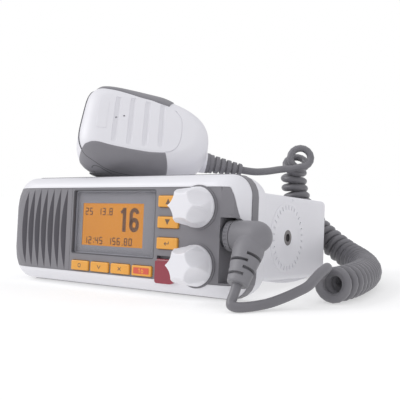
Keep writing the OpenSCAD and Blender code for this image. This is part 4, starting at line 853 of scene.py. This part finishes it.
class RADIO_OT_knobs(bpy.types.Operator):
    """Volume and squelch knobs with hollowed sides between their lobes"""

    bl_idname = "radio.knobs"
    bl_label = "Knobs"

    def execute(self, context):
        lobes = context.scene.radio_sizes.lobes
        for name, z in (("volume", VOLUME_Z), ("squelch", SQUELCH_Z)):
            to = RADIO @ move(KNOB_X, -KNOB_LIFT, z) @ turn(90, "X")
            r = KNOB_D / 2
            knob = lathe(name + "_knob_cap", [
                (0, 0), (r - 0.3, 0), (r, 0.4), (r, 2.0), (r - 0.5, 2.9), (r - 1.3, KNOB_H - 2.4),
                (r - 1.9, KNOB_H - 1.0), (r - 3.0, KNOB_H - 0.25), (r - 5, KNOB_H - 0.05),
                (0, KNOB_H)], to, 96)
            flutes = []
            for i in range(lobes):
                turned = to @ turn(360 * (i + 0.5) / lobes, "Z") @ move(r - 0.7 + FLUTE_R, 0, 3.2)
                flutes.append(lathe("f", [(FLUTE_R, 0), (FLUTE_R, 2 * KNOB_H)], turned @ turn(-17, "Y"), 64))
            carve(knob, *flutes)
            moulded(knob, 0.28, 10)
            dress(knob, "knob", name, nodes=(name + "_knob",))
        return {"FINISHED"}


def pillow(name, width, height, corner, front, back, edge, to, crown=0.12):
    """Moulded cap: round corners, a rounded upper edge and a slightly crowned face at y = front."""
    rings = [ring_at(round_outline(-width / 2, width / 2, -height / 2, height / 2, corner, corner, 5), back)]
    for i in range(7):
        a = math.radians(90 * i / 6)
        inset = edge * (1 - math.cos(a))
        rings.append(ring_at(round_outline(
            -width / 2 + inset, width / 2 - inset, -height / 2 + inset, height / 2 - inset,
            max(corner - inset, 0.15), max(corner - inset, 0.15), 5), front + edge * (1 - math.sin(a))))
    for share in (0.75, 0.45, 0.15):
        last = rings[7]
        rings.append([(x * share, front - crown * (1 - share ** 2), z * share) for x, _, z in last])
    return lofted(name, rings, to=to, smooth=50)


def ribbon(name, lines, width, thick, to):
    """Flat printed strokes that stand a little off the face at y = 0 of the frame given."""
    points, faces = [], []
    for line in lines:
        p = np.asarray(line, float)
        n = len(p)
        first = len(points)
        for i in range(n):
            before = unit(p[i] - p[i - 1]) if i else unit(p[1] - p[0])
            after = unit(p[i + 1] - p[i]) if i < n - 1 else before
            way = unit(before + after)
            across = np.array([-way[1], way[0]]) * width / 2 / max(0.5, way @ before)
            for y in (0, -thick):
                points += [(edge[0], y, edge[1]) for edge in (p[i] + across, p[i] - across)]
        for i in range(n - 1):
            a, b = first + 4 * i, first + 4 * (i + 1)
            faces += [(a, b, b + 1, a + 1), (a + 2, a + 3, b + 3, b + 2), (a, a + 2, b + 2, b),
                      (a + 1, b + 1, b + 3, a + 3)]
        e = first + 4 * (n - 1)
        faces += [(first, first + 1, first + 3, first + 2), (e, e + 2, e + 3, e + 1)]
    return mesh_object(name, points, faces, to=to, smooth=20)


def arc(cx, cz, rx, rz, start, end, n=14):
    return [(cx + rx * math.cos(math.radians(start + (end - start) * i / n)),
             cz + rz * math.sin(math.radians(start + (end - start) * i / n))) for i in range(n + 1)]


def bar_digit(symbol, x, z, w, h):
    """Strokes of a seven-bar digit with its lower left corner at x, z."""
    bars = {"a": ((0, 1), (1, 1)), "b": ((1, 1), (1, 0.5)), "c": ((1, 0.5), (1, 0)), "d": ((0, 0), (1, 0)),
            "e": ((0, 0), (0, 0.5)), "f": ((0, 0.5), (0, 1)), "g": ((0, 0.5), (1, 0.5))}
    lit = {"0": "abcdef", "1": "bc", "2": "abged", "3": "abgcd", "4": "fgbc", "5": "afgcd", "6": "afgedc",
           "8": "abcdefg", " ": ""}
    if symbol in ".:":
        dots = (0.0,) if symbol == "." else (0.2, 0.8)
        return [[(x + 0.2 * w, z + v * h), (x + 0.5 * w, z + v * h)] for v in dots]
    return [[(x + u * w, z + v * h) for u, v in bars[b]] for b in lit[symbol]]


def triangle(cx, cz, w, h):
    """A solid triangle as one short stack of strokes."""
    rows = 7
    return [[(cx - w / 2 * (1 - k / rows), cz - h / 2 + h * k / rows),
             (cx + w / 2 * (1 - k / rows), cz - h / 2 + h * k / rows)] for k in range(rows)]


class RADIO_OT_keys(bpy.types.Operator):
    """Orange keys with plain symbols, and the red patch with a number on the fourth"""

    bl_idname = "radio.keys"
    bl_label = "Keys"

    def execute(self, context):
        edge = context.scene.radio_sizes.key_edge / MM
        marks = {
            "call_key": [arc(0, 0, 1.1, 1.1, 0, 360, 20)],
            "weather_key": [[(-1.3, 0.9), (0, -0.9), (1.3, 0.9)]],
            "clear_key": [[(-1.2, 1.0), (1.2, -1.0)], [(-1.2, -1.0), (1.2, 1.0)]],
            "channel_up_key": triangle(0, 0, 3.4, 3.0),
            "channel_down_key": triangle(0, 0, 3.4, -3.0),
            "enter_key": [[(1.4, 1.1), (1.4, -0.2), (-1.4, -0.2)], [(-0.5, 0.7), (-1.5, -0.2), (-0.5, -1.1)]],
        }
        for name, (x, z, h) in KEYS.items():
            to = RADIO @ move(x, 0, z)
            cap = pillow(name + "_cap", KEY_W, h, KEY_CORNER, -KEY_RISE, 2.9, edge, to)
            lip = pillow("lip", KEY_LIP_W, h + KEY_LIP_RIM, KEY_CORNER, 2.95, 3.95, 0.1, to, 0)
            cap = joined(name + "_cap", [cap, lip])
            shade(cap, 50)
            dress(cap, "key", name, nodes=(name,))
            face = to @ move(0, -1.27, 0)
            if name == "channel_16_key":
                patch = pillow(name + "_patch", 11.6, 3.6, 0.5, -1.36, -1.2, 0.05, to, 0)
                dress(patch, "patch", name)
                lines = [[(-1.9, 0.7), (-1.1, 1.1), (-1.1, -1.1)]]
                lines += [arc(1.0, -0.35, 0.75, 0.75, 0, 360, 16), arc(1.35, -0.3, 1.1, 1.5, 180, 100, 8)]
                label = ribbon(name + "_number", lines, 0.42, 0.06, to @ move(0, -1.35, 0))
                dress(label, "key", name)
            else:
                label = ribbon(name + "_symbol", marks[name], 0.48, PRINT_T, face)
                dress(label, "print", name)
        return {"FINISHED"}


class RADIO_OT_display(bpy.types.Operator):
    """Lit display with its surround, its numbers and the clear window, with painted shade on the window's
    recess walls and a painted highlight round the lens
    """

    bl_idname = "radio.display"
    bl_label = "Display"

    def execute(self, context):
        w, h = WINDOW_W / 2 - 0.1, WINDOW_H / 2 - 0.1
        middle = RADIO @ move(WINDOW_X, 0, WINDOW_Z)
        lens = pillow("display_lens", 2 * w - 2.2, 2 * h - 2.2, 1.0, LENS_Y, LENS_Y + 0.25, 0.1, middle, 0)
        dress(lens, "window", nodes=("display_window",))
        mask = pillow("display_surround", 2 * w, 2 * h, 1.4, LENS_Y + 0.28, 4.1, 0.5, middle, 0)
        glass = ((GLASS_X - LCD_W / 2, LCD_Z - LCD_H / 2), (GLASS_X + LCD_W / 2, LCD_Z + LCD_H / 2))
        carve(mask, block("hole", (glass[0][0], 0, glass[0][1]), (glass[1][0], 9, glass[1][1])))
        dress(mask, "mask")
        # painted shade: the first ring is a dark sheet on the window's recess walls, where there is only
        # shade; painted highlight: the second ring, inside it, is the surround's colour made lighter round
        # the lens's edge
        for name, key, out, high in (("liner", "line", 0.12, 0.12), ("rim", "rim", -1.0, LENS_Y - 0.2)):
            wide, tall = 2 * w + out, 2 * h + out
            rim = pillow("display_" + name, wide, tall, 1.4, high, LENS_Y + 0.5, 0.05, middle, 0)
            carve(rim, pillow("hole", wide - 1.2, tall - 1.2, 1.0, -2, LENS_Y + 2, 0.05, middle, 0))
            dress(rim, key)
        screen = block("display_glass", (glass[0][0] - 0.3, GLASS_Y, glass[0][1] - 0.3),
                       (glass[1][0] + 0.3, 4.35, glass[1][1] + 0.3))
        dress(screen, "display")
        face = RADIO @ move(0, GLASS_Y, 0)
        stem = [[(11.4, 49.4), (11.4, 34.9)], [(8.6, 46.2), (11.3, 48.6)]]
        bowl = [arc(19.3, 39.2, 2.6, 3.0, 0, 360, 30),
                arc(19.3, 45.4, 2.5, 2.7, 10, 180, 18) + [(16.75, 39.2)]]
        for name, lines, width in (("one", stem[:1], 2.7), ("flag", stem[1:], 1.9), ("six", bowl, 2.6)):
            digit = ribbon("display_channel_" + name, lines, width, DIGIT_T, face)
            dress(digit, "digits")
        small = []
        for text, x, z in (("25 13.8", -21.2, 44.9), ("12:45 156.80", -21.4, 26.9)):
            for symbol in text:
                small += bar_digit(symbol, x, z, 2.0, 3.9)
                x += 2.2 if symbol in ".:" else 3.65
        row = ribbon("display_rows", small, 0.7, DIGIT_T, face)
        dress(row, "digits")
        return {"FINISHED"}


class RADIO_OT_distress(bpy.types.Operator):
    """Hinged red cover over the distress key"""

    bl_idname = "radio.distress"
    bl_label = "Distress cover"

    def execute(self, context):
        left = COLUMN_X - COVER_W / 2
        right = left + COVER_W
        line = [(left, PIVOT_Z), (left, COVER_LOW + 1.5)]
        line += arc(left + 1.5, COVER_LOW + 1.5, 1.5, 1.5, 180, 270, 8)
        line += arc(right - 4, COVER_LOW + 4, 4, 4, 270, 360, 12) + [(right, PIVOT_Z)]
        cover = lofted("distress_flap", [ring_at(line, -0.15), ring_at(line, -0.15 - COVER_T)])
        barrel = rod("barrel", (left, PIVOT_Y, PIVOT_Z), (1, 0, 0), 1.3, COVER_W)
        web = block("web", (left, -0.15 - COVER_T, PIVOT_Z - 1.3), (right, PIVOT_Y, PIVOT_Z))
        carve(cover, barrel, web, how="UNION")
        carve(cover, rod("bore", (left - 1, PIVOT_Y, PIVOT_Z), (1, 0, 0), 0.65, COVER_W + 2, steps=24))
        soft_edges(cover, 0.35, 40, 3)
        dress(cover, "red", "distress_cover", nodes=("distress_cover",))
        return {"FINISHED"}


# ---------------------------------------------------------------- plug


class RADIO_OT_plug(bpy.types.Operator):
    """Moulded elbow of the microphone plug with its slotted strain relief"""

    bl_idname = "radio.plug"
    bl_label = "Microphone plug"

    def execute(self, context):
        elbow = (ELBOW_X, PLUG_Y, PLUG_Z)
        r = PLUG_D / 2
        down = RADIO @ move(*elbow) @ turn(180 - 30, "X")
        body = rod("barrel", (PLUG_START, PLUG_Y, PLUG_Z), (1, 0, 0), r, BALL_X - PLUG_START, steps=96)
        ball = lathe("ball", [(r * math.sin(math.pi * i / 24), -r * math.cos(math.pi * i / 24))
                              for i in range(25)], RADIO @ move(BALL_X, PLUG_Y, PLUG_Z), 64)
        neck = lathe("neck", [
            (6.6, -2), (8.2, 7), (8.3, 9.5), (5.75, 26.3), (5.7, 27.4), (5.2, 28)], down, 64)
        carve(body, ball, neck, how="UNION")
        slots = []
        for k in range(4):
            for side in (0, 180):
                start = side + (k % 2) * 90 - 45
                inner, outer = (arc(0, 0, reach, reach, start, start + SLOT_ANGLE) for reach in (SLOT_R, 13))
                line = inner + outer[::-1]
                z = 12 + 3.7 * k
                slots.append(lofted("s", [
                    [(x, y, z) for x, y in line], [(x, y, z + 1.6) for x, y in line]], to=down))
        moulded(body, 0.32, 10)
        carve(body, joined("slots", slots), smooth=40)
        body.name = "plug_elbow"
        dress(body, "plug", nodes=("plug_body", "plug_strain_relief"))
        return {"FINISHED"}


# ---------------------------------------------------------------- microphone


def outline_point(a, inset):
    c, s = math.cos(a), math.sin(a)
    n = MIC_ROUND_RIGHT if c > 0 else MIC_SQUARE_TOP if s > 0 else MIC_ROUND_LOW
    x = (MIC_L / 2 - inset) * math.copysign(abs(c) ** (2 / n), c)
    z = (MIC_W / 2 - inset) * math.copysign(abs(s) ** (2 / n), s)
    return x, z * (1 - MIC_TAPER * x / (MIC_L / 2))


def profile(steps, depth):
    """Depth and inset from the seam to the face at a share from 0 to 1, and the share of an inset."""
    line = bend([(d * depth, i, 0) for d, i in steps], 12)
    s = np.concatenate([[0], np.cumsum(np.linalg.norm(np.diff(line, axis=0), axis=1))])
    s /= s[-1]

    def at(share):
        return np.interp(share, s, line[:, 0]), np.interp(share, s, line[:, 1])

    def share_of(inset):
        late = line[:, 0] > 0.2 * depth
        return float(np.interp(inset, line[late, 1], s[late]))

    return at, share_of


def shell_point(at, side, a, share, proud=0.0):
    """Point of a shell's skin. side is -1 for the front shell and 1 for the rear one."""
    d, inset = at(share)
    x, z = outline_point(a, inset)
    p = np.array([x, side * d, z])
    if proud:
        e = 0.02
        d1, i1 = at(min(1, share + e))
        d0, i0 = at(max(0.06, share - e))
        x1, z1 = outline_point(a, i1)
        x0, z0 = outline_point(a, i0)
        u = np.array([x1 - x0, side * (d1 - d0), z1 - z0])
        xa, za = outline_point(a + e, inset)
        xb, zb = outline_point(a - e, inset)
        v = np.array([xa - xb, 0, za - zb])
        n = unit(np.cross(u, v))
        if n @ np.array([x, 0, z]) + side * 8 * n[1] < 0:
            n = -n
        p = p + proud * n
    return p


def shell(name, steps, depth, side, crown):
    """Half of the microphone's case as a closed form, its seam at y = 0."""
    at, _ = profile(steps, depth)
    angles = [2 * math.pi * i / SHELL_SIDES for i in range(SHELL_SIDES)]
    rings = [[shell_point(at, side, a, j / SHELL_RINGS) for a in angles] for j in range(SHELL_RINGS + 1)]
    face = rings[-1]
    for share in (0.93, 0.8, 0.6, 0.35, 0.12):
        lift = crown * (1 - share ** 2)
        rings.append([np.array([p[0] * share, p[1] + side * lift, p[2] * share]) for p in face])
    return lofted(name, rings, to=MIC, smooth=50)


def face_height(x, z):
    """Height of the front shell's face over its middle plane at a place within the face."""
    n = MIC_ROUND_RIGHT if x > 0 else 4.0
    a, b = MIC_L / 2 - FACE_INSET, (MIC_W / 2 - FACE_INSET) * (1 - MIC_TAPER * x / (MIC_L / 2))
    out = (abs(x / a) ** n + abs(z / b) ** n) ** (1 / n)
    return MIC_FRONT * 1.016 + 0.4 * max(0.0, 1 - out * out) - 0.055 * max(0.0, out - 1) * a * 0.9


# A groove's section: places across it and their depths, with the ends of its rim above the face
GROOVE = ((-1.0, 0), (-0.96, 0.6), (-0.88, 1.35), (-0.6, 1.5), (0.0, 1.45), (0.3, 1.25), (0.7, 0.5), (1.0, 0))


def groove(x, low, high):
    """Cutter for a groove with a steep left wall and a flatter right one, which runs out at both ends."""
    rows = []
    for i in range(31):
        z = low + (high - low) * i / 30
        u = 2 * i / 30 - 1
        fade = math.sqrt(max(0.0, 1 - abs(u) ** 5))
        half = 2.35 * (0.72 + 0.28 * fade)
        row = []
        for across, depth in GROOVE:
            px = x + half * across
            row.append((px, -(face_height(px, z) - (depth * fade if depth > 0 else -1.2)), z))
        rows.append(row)
    return lofted("g", rows, to=MIC @ turn(MARK_TURN, "Y"))


def trace(line, width, depth):
    """Cutter for a fine line in the front shell's face."""
    points = bend([(x, z, 0) for x, z in line], 8)
    rings = []
    for i, p in enumerate(points):
        before, after = points[max(i - 1, 0)], points[min(i + 1, len(points) - 1)]
        way = unit(after - before)
        across = np.array([-way[1], way[0]]) * width / 2
        ring = []
        for side, h in ((-1, 1.5), (-1, 0.0), (0, -depth), (1, 0.0), (1, 1.5)):
            x, z = p[0] + side * across[0], p[1] + side * across[1]
            ring.append((x, -(face_height(x, z) + h), z))
        rings.append(ring)
    return lofted("trace", rings, to=MIC)


def grip(name, steps, depth, side, a0, a1, edge, swell=0.0):
    """Rubber skin on the shell, from the seam to an edge given as insets along it, thinner at its rim."""
    at, share_of = profile(steps, depth)
    nu, nv = 80, 26
    rows_out, rows_in = [], []
    places = np.linspace(0, 1, len(edge))
    reach = [share_of(i) for i in edge]
    for j in range(nv + 1):
        v = j / nv
        out, under = [], []
        for i in range(nu + 1):
            u = i / nu
            share = LOW_SHARE + (float(np.interp(u, places, reach)) - LOW_SHARE) * v
            rise = min(1.0, min(u, 1 - u) * 60 / 0.7, (1 - v) * 22 / 0.8, v * 22 / 0.35 + 0.3)
            rise = math.sqrt(max(0.0, 1 - (1 - rise) ** 2))
            a = a0 + (a1 - a0) * u
            belly = swell * math.sin(math.pi * v) * min(1.0, 6 * u * (1 - u) + 0.2)
            out.append(shell_point(at, side, a, share, GRIP_T * rise + belly + 0.02))
            under.append(shell_point(at, side, a, share, -GRIP_UNDER))
        rows_out.append(out)
        rows_in.append(under)
    points, faces = grid(rows_out)
    below, more = grid(rows_in)
    n = len(points)
    faces += [tuple(n + i for i in reversed(f)) for f in more]
    k = nu + 1
    for j in range(nv):
        for i in (0, nu):
            a, b = j * k + i, (j + 1) * k + i
            faces.append((a, b, n + b, n + a))
    for i in range(nu):
        for j in (0, nv):
            a, b = j * k + i, j * k + i + 1
            faces.append((a, b, n + b, n + a))
    return mesh_object(name, np.concatenate([points, below]), faces, to=MIC, smooth=60)


# The grooves' places with their lower and upper ends, and the fine line round the right of the face
GROOVES = ((-20.6, -18.0, 19.8), (-10.7, -18.8, 20.6), (-0.5, -18.4, 19.6), (9.8, -17.4, 18.4))
FACE_LINE = ((17.2, 16.2), (19.6, 13.6), (22.2, 9.6), (23.3, 2.0), (23.3, -7.6), (21.2, -14.8), (17.8, -18.4),
             (14.6, -19.6))


class RADIO_OT_microphone(bpy.types.Operator):
    """Fist microphone: its two shells, grooves, bare plate, neck and strain relief"""

    bl_idname = "radio.microphone"
    bl_label = "Microphone"

    def execute(self, context):
        front = shell("microphone_front", FRONT_STEPS, MIC_FRONT, -1, 0.4)
        tools = [groove(*place) for place in GROOVES[:context.scene.radio_sizes.grooves]]
        for x, z in ((-21.3, 1.7), (-16.2, 3.0)):
            tools.append(rod("h", (x, -MIC_FRONT - 3, z), (0, 1, 0), 0.75, 12, to=MIC, steps=20))
        tools.append(trace(FACE_LINE, 0.7, 0.45))
        carve(front, *tools, smooth=32)
        dress(front, "white", nodes=("mic_front_shell",))
        turned = MIC @ move(-30.2, 0, 1.2) @ turn(MARK_TURN, "Y")
        plate = pillow("microphone_plate", 6.6, 22.4, 1.2,
                       -face_height(-30, 0) - 0.3, -MIC_FRONT + 0.8, 0.22, turned, 0.03)
        dress(plate, "white")
        rear = shell("microphone_rear", REAR_STEPS, MIC_REAR, 1, 0.4)
        neck = lathe("neck", [(7.5, 0), (7.5, 11), (7.2, 12.6), (6.6, 14.4), (4, 14.5), (4, 13)],
                     MIC @ move(MIC_L / 2 - 12, 6, -4) @ turn(90, "Y"), 64)
        carve(rear, neck, how="UNION", smooth=50)
        dress(rear, "white", nodes=("mic_rear_shell",))
        boot = [(3.5, -8), (7.1, -8), (7.1, 0.4)]
        for i in range(5):
            out, z = 6.6 - 0.5 * i, 0.6 + 4.2 * i
            boot += [(out - 0.2, z), (out, z + 0.3), (out - 0.1, z + 2.7), (out - 0.35, z + 2.9),
                     (out - 1.5, z + 3.0), (out - 1.55, z + 4.0)]
        boot += [(4.3, 21.8), (4.2, 23.6), (3.6, 24.4), (2.7, 24.4)]
        relief = lathe("microphone_boot", boot, MIC @ move(MIC_L / 2 + 2.5, 6, -4) @ turn(90, "Y"), 64)
        dress(relief, "boot", nodes=("mic_strain_relief",))
        seam = shell("microphone_seam", ((0, 0.12), (1, 0.12)), 0.6, -1, 0)
        seam.data.transform(Matrix.Translation(Vector(MIC[:3, 1]) * 0.3 * MM))
        dress(seam, "line")
        return {"FINISHED"}


# Each pair of grips: its angles round the microphone, the swell of the front one, and the insets of its edge
LOWER_EDGE = (3.0, 5.6, 7.0, 7.8, 8.3, 8.6, 8.8, 9.0, 9.1, 9.2, 9.1, 9.0, 9.0, 9.2, 9.3, 9.4)
UPPER_EDGE = (11.2, 11.1, 11.0, 10.7, 10.0, 8.6, 7.8, 7.3, 6.9, 6.5, 6.1, 5.6, 5.0, 4.0, 2.9, 1.6)
GRIPS = (("lower", 214, 290.4, 0.0, LOWER_EDGE), ("upper", 71.9, 136, 1.2, UPPER_EDGE))
# Angles round the microphone and shares of the front shell's skin that the two dark strips follow
JOINT_LINE = (
    (137, 0.3), (146, 0.36), (160, 0.38), (184, 0.38), (196, 0.376), (208, 0.365), (216.5, 0.35),
    (225, 0.325), (235.5, 0.315), (244, 0.275), (251, 0.21), (260, 0.14), (266.5, 0.11), (276, 0.085),
    (290.4, 0.075),
)
BAR_LINE = ((239, 0.05), (239.2, 0.1), (241.5, 0.17), (247.5, 0.185), (254, 0.115), (259, 0.05))


class RADIO_OT_grips(bpy.types.Operator):
    """Grey rubber grips on both sides of the microphone"""

    bl_idname = "radio.grips"
    bl_label = "Microphone grips"

    def execute(self, context):
        for name, lo, hi, swell, edge in GRIPS:
            a0, a1 = math.radians(lo), math.radians(hi)
            front = grip(f"grip_front_{name}", FRONT_STEPS, MIC_FRONT, -1, a0, a1, edge, swell)
            rear = grip(f"grip_rear_{name}", REAR_STEPS, MIC_REAR, 1, a0, a1, (7.5,) * 3)
            for piece, node in ((front, "mic_front_grips"), (rear, "mic_rear_grips")):
                dress(piece, "grip", nodes=(node,))
        self.seam_lines()
        return {"FINISHED"}

    def seam_lines(self):
        """Two dark strips on the front shell's skin: the joint line, and the line round the bar."""
        at, _ = profile(FRONT_STEPS, MIC_FRONT)
        for name, places, half in (("joint", JOINT_LINE, 0.26), ("bar", BAR_LINE, 0.32)):
            line = bend([(a, 100 * s, 0) for a, s in places], 8)[:, :2]
            skin = [shell_point(at, -1, math.radians(a), share / 100, 0.56) for a, share in line]
            rows = []
            for i, point in enumerate(skin):
                way = unit(skin[min(i + 1, len(skin) - 1)] - skin[max(i - 1, 0)])
                out = unit(point - shell_point(at, -1, math.radians(line[i][0]), line[i][1] / 100, 0))
                across = np.cross(way, out) * half
                under = point - 0.5 * out
                rows.append([point - across, point + across, under + across, under - across])
            dress(lofted(f"grip_{name}_line", rows, to=MIC), "line")


class RADIO_OT_finishes(bpy.types.Operator):
    """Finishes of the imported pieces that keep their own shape"""

    bl_idname = "radio.finishes"
    bl_label = "Finishes"

    def execute(self, context):
        groups = {
            "grille": ("speaker_grille",),
            "grey": ("control_panel",),
            "display": ("display_module",),
            "gasket": ("bezel_gasket", "rear_seal", "power_gland"),
            "plug": ("plug_collar",),
            "dark": ("mic_socket", "speaker", "volume_pot", "squelch_pot", "key_switches", "ptt_switch",
                     "mic_capsule"),
            "bar": ("ptt_bar",),
            "red": ("distress_key",),
            "steel": ("housing_screws", "mic_screws", "mic_hang_stud", "volume_shaft", "squelch_shaft",
                      "rf_screen", "distress_pin"),
            "nickel": ("antenna_socket",),
            "worn": ("bracket_inserts",),
            "brass": ("plug_pins",),
            "ivory": ("antenna_insulator",),
            "aluminium": ("rear_heat_sink",),
            "board": ("front_board", "main_board", "mic_board"),
        }
        for key, nodes in groups.items():
            for node in nodes:
                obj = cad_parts[node]
                obj.data.materials.clear()
                obj.data.materials.append(finish_of(key))
        return {"FINISHED"}


STEPS = (
    RADIO_OT_stage, RADIO_OT_plug, RADIO_OT_cord, RADIO_OT_bezel, RADIO_OT_housing, RADIO_OT_knobs,
    RADIO_OT_keys, RADIO_OT_display, RADIO_OT_distress, RADIO_OT_microphone, RADIO_OT_grips,
    RADIO_OT_finishes,
)


class RADIO_PT_panel(bpy.types.Panel):
    """Sizes, colours and steps of the marine radio"""

    bl_idname = "RADIO_PT_panel"
    bl_label = "Marine radio"
    bl_space_type = "VIEW_3D"
    bl_region_type = "UI"
    bl_category = "Radio"

    def draw(self, context):
        for group in (context.scene.radio_sizes, context.scene.radio_colours):
            for name in group.bl_rna.properties.keys():
                if name not in ("rna_type", "name"):
                    self.layout.prop(group, name)
        for step in STEPS:
            self.layout.operator(step.bl_idname)


CLASSES = (RadioColours, RadioSizes, *STEPS, RADIO_PT_panel)


def register():
    for item in CLASSES:
        bpy.utils.register_class(item)
    bpy.types.Scene.radio_colours = bpy.props.PointerProperty(type=RadioColours)
    bpy.types.Scene.radio_sizes = bpy.props.PointerProperty(type=RadioSizes)


def unregister():
    del bpy.types.Scene.radio_sizes
    del bpy.types.Scene.radio_colours
    for item in reversed(CLASSES):
        bpy.utils.unregister_class(item)


def main():
    register()
    for step in STEPS:
        getattr(bpy.ops.radio, step.bl_idname.split(".")[1])()


if __name__ == "__main__":
    main()
